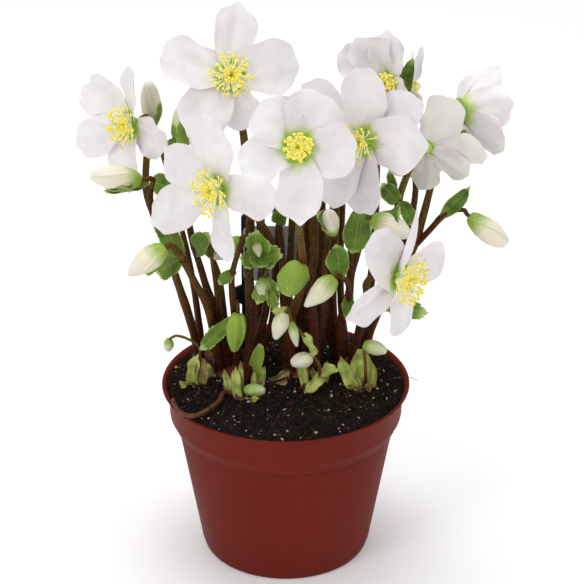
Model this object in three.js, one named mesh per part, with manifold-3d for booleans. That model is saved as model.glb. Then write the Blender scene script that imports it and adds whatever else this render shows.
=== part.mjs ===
// A white-flowered hellebore in its plastic nursery pot. Millimetres, +Z up.
// The origin is the middle of the pot's underside. -Y is the front, which the open blooms face.
import * as THREE from "three";
import { mergeVertices } from "three/addons/utils/BufferGeometryUtils.js";
import Module from "manifold-3d";

const wasm = await Module();
wasm.setup();

// Driving dimensions
const potHeight = 111; // the 15 cm nursery pot, to the top of its lip
const lipRadius = 75;
const bandTopRadius = 71.2; // the straight band under the lip
const bandFootRadius = 70.4;
const bandFootZ = 92;
const bodyTopRadius = 66.9; // the tapered body below the band's step
const bodyTopZ = 89;
const bodyFootRadius = 52;
const bodyFootZ = 6;
const baseRadius = 50;
const wall = 1.4;
const floorThickness = 1.8;
const drainRadius = 5;
const drainCount = 6;
const drainCircle = 34;
const lipWidth = 3;
const potSides = 24;

const soilSides = 16;
const soilRimZ = 109.6;
const soilMound = 2; // the middle stands this much above the rim
const clearance = 0.35; // between pieces that touch

const crownFootZ = 97;
const crownTopZ = 114;
const sprayFootZ = 101;
const stemSides = 5;
const thinStemSides = 4; // stems that carry no bloom
const stemStep = 27; // length of one straight piece of a stem

const hubRadius = 6.2; // the receptacle that the tepals grow from
const hubBack = 4;
const hubFront = 0.8;
const budApproach = 3; // straight end of a stem behind its bud
const tepalRoot = 5.6; // distance of a tepal's root from the bloom's axis
const tepalThickness = 0.9;
const narrowTepal = 31; // narrower ones take fewer columns
const tepalRoll = 7; // degrees, so that each tepal lies over one neighbour and under the other
const bractThickness = 0.9;

const postLeft = -27.2; // the label holder's post
const postRight = -22.4;
const postFootZ = 99;
const holderY = 44; // front face of the holder
const holderDepth = 2.4;
const cardThickness = 0.9;

// Materials
const matte = (name, color, roughness) => {
  const material = new THREE.MeshStandardMaterial({ color, roughness, metalness: 0 });
  material.name = name;
  return material;
};
const potPlastic = matte("pot_plastic", 0x6e2a20, 0.45);
const peat = matte("peat", 0x1c140e, 0.95);
const darkPlastic = matte("dark_plastic", 0x0c1410, 0.4);
const cardBoard = matte("card", 0xb4b6b8, 0.6);
const tepalWhite = matte("tepal", 0xeee8ea, 0.6);
const nectaryGreen = matte("nectary", 0x93bc37, 0.5);
const stamenYellow = matte("stamen", 0xebd83e, 0.7);
const stemBrown = matte("stem", 0x5a3428, 0.6);
const bractGreen = matte("bract", 0x55832f, 0.55);
const budCream = matte("bud", 0xe9e2c6, 0.6);

const plant = new THREE.Group();

function vec(point) {
  return new THREE.Vector3(point[0], point[1], point[2]);
}

function addPiece(name, geometry, material) {
  geometry.computeVertexNormals();
  const mesh = new THREE.Mesh(geometry, material);
  mesh.name = name;
  plant.add(mesh);
}

// A closed geometry as a solid that can be joined and cut
function solidOf(geometry) {
  const bare = geometry.clone();
  bare.deleteAttribute("normal");
  bare.deleteAttribute("uv");
  const merged = mergeVertices(bare, 1e-4);
  return new wasm.Manifold(
    new wasm.Mesh({
      numProp: 3,
      vertProperties: new Float32Array(merged.attributes.position.array),
      triVerts: new Uint32Array(merged.index.array),
    }),
  );
}

function geometryOf(solid) {
  const mesh = solid.getMesh();
  const geometry = new THREE.BufferGeometry();
  geometry.setAttribute("position", new THREE.BufferAttribute(mesh.vertProperties, 3));
  geometry.setIndex(new THREE.BufferAttribute(mesh.triVerts, 1));
  return geometry;
}

function joined(solids) {
  return solids.reduce((sum, solid) => sum.add(solid));
}

// The largest of the bodies that a cut leaves; loose scraps are dropped
function largestBody(solid) {
  const bodies = solid.decompose();
  bodies.sort((first, second) => second.volume() - first.volume());
  return bodies[0];
}

// A lathe turned round Z instead of Y
function lathe(profile, sides) {
  const points = profile.map(([radius, z]) => new THREE.Vector2(radius, z));
  return new THREE.LatheGeometry(points, sides).rotateX(Math.PI / 2);
}

function roundPost(radius, footZ, topZ, x, y, sides) {
  const post = new THREE.CylinderGeometry(radius, radius, topZ - footZ, sides);
  return post.rotateX(Math.PI / 2).translate(x, y, (footZ + topZ) / 2);
}

// Pot, soil and label holder

function innerRadius(z) {
  if (z > bandFootZ) {
    return bandFootRadius - wall;
  }
  const share = Math.max(0, (z - bodyFootZ) / (bodyTopZ - bodyFootZ));
  return bodyFootRadius + (bodyTopRadius - bodyFootRadius) * share - wall;
}

function makePot() {
  const profile = [
    [0, 0],
    [baseRadius, 0],
    [bodyFootRadius, bodyFootZ],
    [bodyTopRadius, bodyTopZ],
    [bandFootRadius, bandFootZ],
    [bandTopRadius, potHeight - 3],
    [lipRadius, potHeight - 1],
    [lipRadius, potHeight],
    [lipRadius - lipWidth, potHeight],
    [bandTopRadius - wall, potHeight - 3],
    [bandFootRadius - wall, bandFootZ + 1],
    [bodyTopRadius - wall, bodyTopZ],
    [bodyFootRadius - wall, bodyFootZ],
    [baseRadius - 3, floorThickness],
    [0, floorThickness],
  ];
  let pot = solidOf(lathe(profile, potSides));
  for (let i = 0; i < drainCount; i++) {
    const turn = (i / drainCount) * 2 * Math.PI;
    const x = drainCircle * Math.cos(turn);
    const y = drainCircle * Math.sin(turn);
    pot = pot.subtract(solidOf(roundPost(drainRadius, -2, floorThickness + 2, x, y, 6)));
  }
  addPiece("pot", geometryOf(pot), potPlastic);
}

// Height of the peat: a low mound at the plant, with lumps
function soilHeight(x, y) {
  const reach = Math.hypot(x, y) / (bandFootRadius - wall);
  const lumps = Math.sin(x * 0.31 + 1.3) * Math.cos(y * 0.27) + 0.6 * Math.sin(x * 0.13 - y * 0.41);
  return soilRimZ + soilMound * (1 - reach * reach) + 0.8 * lumps * (1 - reach ** 4);
}

// Rings of points from the middle of the floor, up the wall and back over the mound
function soilGeometry() {
  const rings = [];
  for (const z of [floorThickness + clearance, bodyFootZ + clearance, bodyTopZ - 1]) {
    rings.push({ radius: innerRadius(z) - clearance - 1.2, z });
  }
  rings[0].radius = baseRadius - 5;
  rings.push({ radius: innerRadius(soilRimZ) - clearance, z: soilRimZ - 1 });
  for (const share of [0.92, 0.7, 0.4]) {
    rings.push({ radius: share * innerRadius(soilRimZ), z: null });
  }
  const positions = [0, 0, floorThickness + clearance];
  for (const ring of rings) {
    for (let i = 0; i < soilSides; i++) {
      const turn = (i / soilSides) * 2 * Math.PI;
      const x = ring.radius * Math.cos(turn);
      const y = ring.radius * Math.sin(turn);
      positions.push(x, y, ring.z ?? soilHeight(x, y));
    }
  }
  positions.push(0, 0, soilHeight(0, 0));
  const index = [];
  const top = 1 + rings.length * soilSides;
  for (let i = 0; i < soilSides; i++) {
    const next = (i + 1) % soilSides;
    index.push(0, 1 + next, 1 + i);
    for (let row = 0; row < rings.length - 1; row++) {
      const low = 1 + row * soilSides;
      const high = low + soilSides;
      index.push(low + i, low + next, high + next);
      index.push(low + i, high + next, high + i);
    }
    const last = top - soilSides;
    index.push(last + i, last + next, top);
  }
  return closedGeometry(positions, index);
}

function closedGeometry(positions, index) {
  const geometry = new THREE.BufferGeometry();
  geometry.setAttribute("position", new THREE.Float32BufferAttribute(positions, 3));
  geometry.setIndex(index);
  return geometry;
}

// Leaves and tepals

// Width along a blade as a share of its full width, from a narrow claw to a rounded tip
function bladeWidth(s) {
  const claw = 0.2 * (1 - s) ** 1.5;
  const power = Math.log(0.5) / Math.log(0.6);
  const body = Math.max(0, Math.sin(Math.PI * s ** power)) ** 0.5;
  return body + claw * (1 - body);
}

// A cupped, curved blade in its own frame: it grows along X from `root`, its width is along Y and
// its inner face looks along Z. Both faces are cut into triangles alike.
function bladeGeometry({ length, width, lift, curl, cup, roll, root, thickness, rows, columns, teeth }) {
  const startAngle = THREE.MathUtils.degToRad(lift);
  const bend = THREE.MathUtils.degToRad(curl || 0.01);
  const rollAngle = THREE.MathUtils.degToRad(roll);
  const positions = [];
  const pointAt = (s, c, side) => {
    const angle = startAngle + bend * s;
    const along = root + (length * (Math.sin(angle) - Math.sin(startAngle))) / bend;
    const height = (length * (Math.cos(startAngle) - Math.cos(angle))) / bend;
    const across = c * 0.5 * width * bladeWidth(s) * teeth(s);
    const rise = cup * Math.abs(across) * Math.abs(c) + side * thickness * 0.5;
    const y = across * Math.cos(rollAngle) - rise * Math.sin(rollAngle);
    const up = across * Math.sin(rollAngle) + rise * Math.cos(rollAngle);
    return [along - up * Math.sin(angle), y, height + up * Math.cos(angle)];
  };
  for (const side of [1, -1]) {
    for (let row = 0; row < rows; row++) {
      for (let column = 0; column <= columns; column++) {
        const s = Math.sin((0.5 * Math.PI * row) / rows);
        positions.push(...pointAt(s, (2 * column) / columns - 1, side));
      }
    }
    positions.push(...pointAt(1, 0, side));
  }
  return closedGeometry(positions, bladeIndex(rows, columns));
}

function bladeIndex(rows, columns) {
  const index = [];
  const line = columns + 1;
  const face = rows * line + 1;
  const tip = rows * line;
  const quad = (a, b, c, d) => index.push(a, b, c, a, c, d);
  for (let row = 0; row < rows - 1; row++) {
    for (let column = 0; column < columns; column++) {
      const a = row * line + column;
      quad(a, a + line, a + line + 1, a + 1);
      quad(face + a, face + a + 1, face + a + line + 1, face + a + line);
    }
    const left = row * line;
    const right = left + columns;
    quad(left, face + left, face + left + line, left + line);
    quad(right, right + line, face + right + line, face + right);
  }
  const last = (rows - 1) * line;
  for (let column = 0; column < columns; column++) {
    index.push(last + column, tip, last + column + 1);
    index.push(face + last + column, face + last + column + 1, face + tip);
    quad(column, column + 1, face + column + 1, face + column);
  }
  quad(last, face + last, face + tip, tip);
  quad(last + columns, tip, face + tip, face + last + columns);
  return index;
}

const smoothEdge = () => 1;
// Teeth towards the tip of a bract
const toothedEdge = (s) => (s > 0.55 ? 1 - 0.13 * Math.sin(s * 16) : 1);

// Frame of a bloom: azimuth 0 looks at -Y, and grows towards +X
function bloomFrame(centre, azimuth, elevation) {
  const a = THREE.MathUtils.degToRad(azimuth);
  const e = THREE.MathUtils.degToRad(elevation);
  const axis = new THREE.Vector3(Math.sin(a) * Math.cos(e), -Math.cos(a) * Math.cos(e), Math.sin(e));
  const right = new THREE.Vector3(Math.cos(a), Math.sin(a), 0);
  const up = new THREE.Vector3().crossVectors(axis, right);
  return new THREE.Matrix4().makeBasis(right, up, axis).setPosition(vec(centre));
}

// A leaf from `base` to `tip`, its inner face turned towards `face`
function leaf({ base, tip, width, face = [0, -1, 0.2], bend = -30, cup = 0.3, rows = 3 }) {
  const along = vec(tip).sub(vec(base));
  const length = along.length() * 1.03;
  along.normalize();
  const across = new THREE.Vector3().crossVectors(vec(face), along).normalize();
  const normal = new THREE.Vector3().crossVectors(along, across);
  const frame = new THREE.Matrix4().makeBasis(along, across, normal).setPosition(vec(base));
  const blade = bladeGeometry({
    length,
    width,
    lift: -bend / 2,
    curl: bend,
    cup,
    roll: 0,
    root: 0,
    thickness: bractThickness,
    rows,
    columns: 2,
    teeth: toothedEdge,
  });
  return solidOf(blade.applyMatrix4(frame));
}

// Stems

function tube(points, radius, sides = stemSides) {
  const curve = new THREE.CatmullRomCurve3(points.map(vec), false, "catmullrom", 0.5);
  const outline = new THREE.Shape();
  for (let i = 0; i < sides; i++) {
    const turn = (i / sides) * 2 * Math.PI;
    const x = radius * Math.cos(turn);
    const y = radius * Math.sin(turn);
    if (i === 0) {
      outline.moveTo(x, y);
    } else {
      outline.lineTo(x, y);
    }
  }
  const steps = Math.max(Math.min(3, points.length - 1), Math.round(curve.getLength() / stemStep));
  return solidOf(new THREE.ExtrudeGeometry(outline, { steps, extrudePath: curve }));
}

// A pointed bud: overlapping tepals wound round a short axis from `base` to `tip`
function bud({ base, tip, width, sides = 8 }) {
  const shares = [0, 0.12, 0.34, 0.6, 0.84];
  const widths = [0.3, 0.74, 1, 0.86, 0.44];
  const along = vec(tip).sub(vec(base));
  const length = along.length();
  along.normalize();
  const helper = Math.abs(along.z) > 0.9 ? vec([0, 1, 0]) : vec([0, 0, 1]);
  const right = new THREE.Vector3().crossVectors(helper, along).normalize();
  const up = new THREE.Vector3().crossVectors(along, right);
  const positions = [...base];
  shares.forEach((share, row) => {
    for (let i = 0; i < sides; i++) {
      const turn = (i / sides) * 2 * Math.PI + share * 0.9;
      const lap = 1 + 0.1 * ((i % 3) - 1);
      const radius = 0.5 * width * widths[row] * lap;
      const point = vec(base).addScaledVector(along, share * length);
      point.addScaledVector(right, radius * Math.cos(turn));
      point.addScaledVector(up, radius * Math.sin(turn));
      positions.push(point.x, point.y, point.z);
    }
  });
  positions.push(...tip);
  const index = [];
  const end = 1 + shares.length * sides;
  for (let i = 0; i < sides; i++) {
    const next = (i + 1) % sides;
    index.push(0, 1 + next, 1 + i);
    for (let row = 0; row < shares.length - 1; row++) {
      const low = 1 + row * sides;
      const high = low + sides;
      index.push(low + i, low + next, high + next, low + i, high + next, high + i);
    }
    index.push(end - sides + i, end - sides + next, end);
  }
  return solidOf(closedGeometry(positions, index));
}

// Blooms
// centre: front of the receptacle. tepals: [turn, length, width, lift, curl, cup] in degrees and mm,
// and a roll of its own where one is turned edge on.
// boss: length of the stamens and how far they splay from the bloom's axis.
const blooms = [
  {
    centre: [-32.6, 5, 306.8], azimuth: 22, elevation: 28, boss: [12, 50],
    tepals: [[5, 37, 32, 10, -14, 0.12], [72, 37, 27, 8, -10, 0.14], [154, 37, 28, 6, -10, 0.15],
      [225, 37, 31, 6, -14, 0.12], [278, 27, 24, 2, -14, 0.2]],
  },
  {
    centre: [-91, 31, 266], azimuth: -42, elevation: 8, boss: [13, 42],
    tepals: [[348, 23, 26, 2, -14, 0.2], [78, 35, 22, 22, -10, 0.2, -22], [153, 34, 28, 14, -10, 0.2],
      [209, 37, 25, 16, -10, 0.2], [272, 37, 26, 10, -15, 0.2]],
  },
  {
    centre: [-38, -25, 250], azimuth: -42, elevation: 5, boss: [15, 48],
    tepals: [[7, 34, 27, -6, -12, 0.2], [90, 42, 28, 16, -10, 0.2], [158, 35, 26, 16, -10, 0.2],
      [215, 46, 28, 18, -10, 0.2], [285, 38, 20, 6, -10, 0.2]],
  },
  {
    centre: [7, -62, 292], azimuth: 0, elevation: 22, boss: [9, 29],
    tepals: [[352, 27, 31, 8, -12, 0.15], [68, 27, 31, 10, -10, 0.15], [129, 26, 30, 10, -10, 0.15],
      [198, 29, 27, 8, -12, 0.15], [272, 37, 27, 4, -14, 0.15]],
  },
  {
    centre: [45, -22, 279], azimuth: -35, elevation: 8, boss: [13, 45],
    tepals: [[11, 36, 35, 4, -10, 0.15], [90, 39, 29, 14, -10, 0.15], [149, 42, 28, 12, -10, 0.15],
      [247, 41, 24, 12, -10, 0.15], [278, 38, 27, 8, -10, 0.15], [44, 38, 26, -2, -8, 0.15]],
  },
  {
    centre: [59, 22, 296], azimuth: -20, elevation: 15, boss: [9, 28],
    tepals: [[150, 28, 22, 14, -10, 0.3], [126, 26, 26, 25, -10, 0.3], [92, 25, 22, 16, -10, 0.25],
      [344, 18, 16, 48, -10, 0.3], [229, 23, 20, 50, -10, 0.3]],
  },
  {
    centre: [68, 45, 281], azimuth: 95, elevation: 8, boss: [12, 36],
    tepals: [[195, 21, 20, 35, -20, 0.25], [258, 26, 18, 35, -20, 0.25], [322, 26, 20, 35, -20, 0.25],
      [25, 26, 20, 35, -20, 0.25], [86, 25, 18, 46, -20, 0.25]],
  },
  {
    centre: [82, 5, 263], azimuth: 155, elevation: 0, boss: [11, 40],
    tepals: [[114, 28, 25, 20, -16, 0.2], [186, 30, 19, 20, -16, 0.45], [215, 24, 20, 18, -16, 0.2],
      [281, 27, 22, 22, -16, 0.2], [322, 30, 24, 20, -16, 0.2]],
  },
  {
    centre: [103, 40, 271], azimuth: 118, elevation: -10, boss: [11, 30],
    tepals: [[88, 30, 19, 46, -10, 0.35], [150, 28, 26, 54, -18, 0.25], [215, 30, 30, 44, -20, 0.2],
      [296, 30, 24, 42, -20, 0.25], [12, 30, 24, 42, -20, 0.25]],
  },
  {
    centre: [63.4, -58, 210], azimuth: 50, elevation: 0, boss: [16, 42],
    tepals: [[128, 34, 31, 6, -20, 0.2], [94, 47, 15, 24, -10, 0.2, 44], [18, 28, 29, 28, -14, 0.2],
      [191, 41, 21, 10, -20, 0.3], [272, 33, 19, 10, -20, 0.2]],
  },
];

function hub() {
  const profile = [
    [0, -hubBack],
    [2.3, -hubBack],
    [hubRadius, -0.8],
    [hubRadius, hubFront],
    [0, hubFront],
  ];
  return solidOf(lathe(profile, 6));
}

function makeTepals(name, bloom, frame) {
  const solids = bloom.tepals.map(([turn, length, width, lift, curl, cup, roll = tepalRoll]) => {
    const blade = bladeGeometry({
      length,
      width,
      lift,
      curl,
      cup,
      roll,
      root: tepalRoot,
      thickness: tepalThickness,
      rows: 4,
      columns: width < narrowTepal ? 3 : 4,
      teeth: smoothEdge,
    });
    return solidOf(blade.rotateZ(THREE.MathUtils.degToRad(turn)));
  });
  const tepals = joined([hub(), ...solids]);
  addPiece(`${name}_tepals`, geometryOf(tepals).applyMatrix4(frame), tepalWhite);
}

const nectaryCount = 6;
const nectaryInner = 3.4;
const nectaryOuter = 4.9;
const nectaryLength = 4.8;
const nectaryFoot = hubFront + clearance;

// A low ring round the stamens whose rim is drawn out into narrow splayed horns
function makeNectaries(name, bloom, frame) {
  const steepest = Math.max(...bloom.tepals.map((tepal) => tepal[3]));
  const rise = THREE.MathUtils.degToRad(Math.min(80, 40 + 0.8 * steepest));
  const slots = 2 * nectaryCount;
  const positions = [];
  for (let i = 0; i < slots; i++) {
    const turn = (i / slots) * 2 * Math.PI;
    const horn = i % 2 === 0 ? nectaryLength : 0.6;
    const tipRadius = nectaryInner + 1 + horn * Math.cos(rise);
    const tipHeight = nectaryFoot + 0.8 + horn * Math.sin(rise);
    const section = [
      [nectaryInner, nectaryFoot],
      [nectaryOuter, nectaryFoot],
      [tipRadius, tipHeight],
    ];
    for (const [radius, height] of section) {
      positions.push(radius * Math.cos(turn), radius * Math.sin(turn), height);
    }
  }
  const index = [];
  for (let i = 0; i < slots; i++) {
    const here = 3 * i;
    const next = 3 * ((i + 1) % slots);
    for (let side = 0; side < 3; side++) {
      const other = (side + 1) % 3;
      index.push(here + side, next + side, next + other);
      index.push(here + side, next + other, here + other);
    }
  }
  addPiece(`${name}_nectaries`, closedGeometry(positions, index).applyMatrix4(frame), nectaryGreen);
}

const stamenCount = 7;
const antherRadius = 1.3;
const goldenAngle = Math.PI * (3 - Math.sqrt(5));

// Stamens spread evenly round the carpels, on a small core
function makeStamens(name, bloom, frame) {
  const [length, splay] = bloom.boss;
  const foot = hubFront + clearance;
  const core = lathe([[0, foot], [2.6, foot], [1.7, foot + 4.5], [0, foot + 6.5]], 5);
  const solids = [solidOf(core)];
  for (let i = 0; i < stamenCount; i++) {
    const share = Math.sqrt((i + 1) / stamenCount);
    const lean = THREE.MathUtils.degToRad(splay * share);
    const stamen = lathe([[0, 0], [antherRadius, length - 1], [0, length + 0.6]], 3);
    stamen.rotateZ(i).rotateY(lean).translate(share, 0, foot + 0.2).rotateZ(i * goldenAngle);
    solids.push(solidOf(stamen));
  }
  addPiece(`${name}_stamens`, geometryOf(joined(solids)).applyMatrix4(frame), stamenYellow);
}

function makeBloom(bloom, number) {
  const name = `bloom_${number}`;
  const frame = bloomFrame(bloom.centre, bloom.azimuth, bloom.elevation);
  makeTepals(name, bloom, frame);
  makeNectaries(name, bloom, frame);
  makeStamens(name, bloom, frame);
}

// The last two points of a flower stem, straight behind its bloom
function endBehind(bloom) {
  const frame = bloomFrame(bloom.centre, bloom.azimuth, bloom.elevation);
  const bend = vec([0, 0, -14]).applyMatrix4(frame);
  const end = vec([0, 0, -hubBack - clearance]).applyMatrix4(frame);
  return [bend.toArray(), end.toArray()];
}

// A bud stem's last two points, straight behind its bud
function endAtBud({ base, tip }) {
  const along = vec(tip).sub(vec(base)).normalize();
  const bend = vec(base).addScaledVector(along, -budApproach);
  const end = vec(base).addScaledVector(along, -clearance);
  return [bend.toArray(), end.toArray()];
}

// The clumps of flower stems
// Each stem: [diameter, points from its root, the bloom's number or the bud that it carries, if any]
const clumps = {
  left: {
    crown: [-51, 30, 7.5],
    stems: {
      bloom2: [4.6, [[-51, 28, 104], [-58, 10, 148], [-65, 2, 179], [-72, 4, 203], [-78, 14, 214],
        [-83, 24, 230]], 2],
      bud2: [3.6, [[-51, 33, 104], [-55, 30, 151], [-61, 28, 192], [-68, 34, 216], [-72, 44, 234],
        [-77, 49, 250]], "bud_2"],
      bud1: [3.2, [[-78, 14, 214], [-80, 16, 226], [-78, 14, 238]], "bud_1"],
    },
  },
  midLeft: {
    crown: [-30.5, 8, 13],
    stems: {
      bud4: [4.6, [[-39, 12, 104], [-46, 2, 157], [-54, -6, 181], [-61, -16, 202], [-65, -22.6, 212]],
        "bud_4"],
      bud3: [4.2, [[-35, 15, 104], [-41, 9, 149], [-47, 6, 170], [-51, 4, 187], [-55, 4, 203],
        [-59, 8, 227], [-61, 16, 249]], "bud_3"],
      bud8: [4, [[-29, 11, 104], [-31, 3, 155], [-32, -3, 180], [-30, -4, 192], [-26.6, 0.9, 200.9]]],
      shoot: [3.6, [[-34, 13, 104], [-37, 13, 149], [-40, 14, 174], [-44, 13, 188], [-47, 10, 203]]],
      side: [2.6, [[-40, 9, 149], [-41, 2, 168], [-43, -3, 190], [-46, -4, 212]]],
      bloom1: [5, [[-23, 2, 104], [-21, 4, 153], [-22, 8, 187], [-21, 14, 214], [-23, 20, 247],
        [-27, 24, 275]], 1],
      low: [2.8, [[-31, 3, 155], [-30, -1, 165], [-28.5, -4, 165], [-28.4, -5, 158]]],
      inner: [4.4, [[-25, 11, 104], [-12, 19, 150], [-13, 18, 180], [-16, 18, 213], [-18, 20, 239]]],
      backLeft: [4.6, [[-26.3, 11, 104], [-17, 24, 129], [-16.3, 30, 150], [-14.4, 32, 176],
        [-14.8, 34, 216]]],
      backRight: [4.4, [[-29, 9.6, 104], [-11, 24, 129], [-6.6, 30, 150], [-5.9, 34, 174],
        [-2.8, 37, 215]]],
    },
  },
  midRight: {
    crown: [9, 12, 13],
    stems: {
      bloom4: [4.6, [[5, 12, 104], [3, 2, 148], [9, -8, 176], [10, -20, 200], [8, -34, 231],
        [7, -46, 262]], 4],
      bloom3: [5, [[0, 14, 104], [1, 14, 145], [0, 16, 177], [-8, 13, 196], [-16, 6, 216],
        [-24, -4, 234]], 3],
      bloom6: [5, [[18, 8, 104], [17, 6, 140], [15, 8, 174], [17, 12, 190], [18, 16, 219],
        [30, 22, 254], [50, 28, 280], [64, 36, 290]], 6],
      bud9: [4, [[17, 15, 104], [21, 12, 146], [23, 6, 183], [25, -2, 205]], "bud_9"],
      back: [3.4, [[1, 15, 130], [-2, 22, 160], [-2, 24, 184], [-4, 20, 214]]],
      innerLeft: [4.4, [[4, 16.5, 104], [2, 26, 150], [3, 28, 185], [5, 31, 228], [5, 32, 247]]],
      innerMiddle: [4.2, [[9, 19, 104], [8, 31, 150], [9, 33, 189], [11, 35, 225], [13, 36, 251]]],
      innerRight: [4.4, [[16.5, 14.5, 104], [23, 22, 145], [22.5, 23, 180], [22, 26, 216], [22, 28, 241]]],
      backLeft: [4.4, [[10.6, 17.3, 104], [12, 26, 128], [12.4, 34, 148], [12.3, 38, 172], [14, 39, 214]]],
      backRight: [4.4, [[14, 16.5, 104], [18.5, 26, 128], [18.5, 34, 148], [19.6, 37, 173], [21.8, 38, 213]]],
    },
  },
  right: {
    crown: [39, 20, 10],
    stems: {
      bloom5: [4.6, [[33, 18, 104], [34, 6, 152], [38, 2, 169], [39, 2, 198], [43, 4, 220],
        [48, 4, 250]], 5],
      bud6: [3.8, [[38, 2, 168], [39, 3, 181], [42, 3, 194], [45.5, 2, 207], [48.5, 0, 219],
        [49.5, -10, 228]], "bud_6"],
      bud7: [3, [[38, 2, 160], [37, -8, 180], [33, -16, 189]], "bud_7"],
      bloom10: [4.6, [[39, 18, 104], [45, 4, 147], [48, -10, 171], [47, -30, 191], [50, -44, 204]], 10],
      bloom9: [4.8, [[45, 20, 104], [53, 10, 146], [66, 8, 175], [76, 8, 197], [82, 12, 218],
        [87, 20, 238], [89, 28, 256]], 9],
      bud5: [3.2, [[76, 8, 197], [86, 6, 210], [92, 4, 219], [96.6, 3, 222.4], [101.2, 2, 224],
        [105, 1, 224.2]], "bud_5"],
      bloom8: [4.4, [[53, 10, 146], [61, 6, 183], [64, 0, 215], [67, -4, 237], [71, -9, 253]], 8],
      bloom7: [3.6, [[61, 7, 181], [68, 14, 192], [75, 22, 210], [77, 30, 232], [68, 38, 254],
        [56, 42, 270]], 7],
      innerLeft: [4.2, [[35, 22, 104], [29, 28, 145], [30, 30, 188], [31, 32, 225], [32, 34, 251]]],
      innerRight: [4.4, [[43, 21.5, 104], [50, 27, 145], [53, 25, 190], [54, 22, 221], [54, 20, 246]]],
      backLeft: [4.2, [[36, 21.6, 104], [27, 30, 126], [26, 38, 146], [26, 39, 171], [28.5, 39, 212]]],
      backRight: [4.2, [[39, 24.5, 104], [35.8, 30, 126], [33.8, 36, 148], [33.2, 38, 172], [34.5, 38, 215]]],
    },
  },
};

// Leaves that grow on a clump and are part of it
const clumpLeaves = {
  left: [],
  midLeft: [
    { base: [-54, 4, 196], tip: [-45, -8, 212], width: 12, face: [-0.4, -1, 0.3] },
    { base: [-44, 12, 190], tip: [-50, 3, 206], width: 9.5, face: [0.3, -1, 0.4] },
    { base: [-30.5, -2.5, 187], tip: [-39, -8, 181], width: 7 },
    { base: [-30, -3, 156], tip: [-49.5, -8, 137.5], width: 9, face: [-0.3, -1, 0.4] },
    { base: [-21, 2, 112], tip: [-15, 1, 135], width: 8 },
  ],
  midRight: [{ base: [-3, 20, 206], tip: [-4, 14, 220], width: 8.5 }],
  right: [
    { base: [38, 1, 170], tip: [37, -6, 157], width: 7.5, face: [0, -1, 0] },
    { base: [89, 30, 260], tip: [108, 22, 262], width: 7.5, face: [0.3, -1, 0.6] },
    { base: [66, 7, 176], tip: [76, 0, 171], width: 6 },
    { base: [48, -14, 176], tip: [81, -24, 169], width: 12, face: [0.2, -1, 0.4] },
  ],
};

// Buds that a clump's own stems end in
const clumpBuds = {
  left: [],
  midLeft: [
    { base: [-28.4, -5, 160], tip: [-31, -9, 135], width: 12 },
    { base: [-18, 20, 237], tip: [-16, 23, 256], width: 9, sides: 5 },
  ],
  midRight: [
    { base: [5, 32, 245], tip: [7, 34, 264], width: 9, sides: 5 },
    { base: [13, 36, 249], tip: [13, 40, 266], width: 8, sides: 5 },
    { base: [22, 28, 239], tip: [25, 30, 257], width: 9, sides: 5 },
  ],
  right: [
    { base: [32, 34, 249], tip: [32, 39, 266], width: 8, sides: 5 },
    { base: [54, 20, 244], tip: [54, 26, 258], width: 7, sides: 5 },
  ],
};

function stemSolid([diameter, points, carries], extra) {
  const flowers = Number.isInteger(carries);
  const ends = flowers ? endBehind(blooms[carries - 1]) : [];
  if (carries && !flowers) {
    ends.push(...endAtBud(buds[carries]));
  }
  return tube([...points, ...ends], diameter / 2 + extra, flowers ? stemSides : thinStemSides);
}

function makeClumps() {
  const fat = {};
  for (const [side, clump] of Object.entries(clumps)) {
    const [x, y, radius] = clump.crown;
    const grow = (extra) => {
      const crown = roundPost(radius + extra, crownFootZ - extra, crownTopZ + extra, x, y, 10);
      const stems = Object.values(clump.stems).map((stem) => stemSolid(stem, extra));
      return joined([solidOf(crown), ...stems]);
    };
    fat[side] = grow(clearance);
    const ends = [...clumpLeaves[side].map(leaf), ...clumpBuds[side].map(bud)];
    addPiece(`stems_${side}`, geometryOf(joined([grow(0), ...ends])), stemBrown);
  }
  return fat;
}

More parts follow.
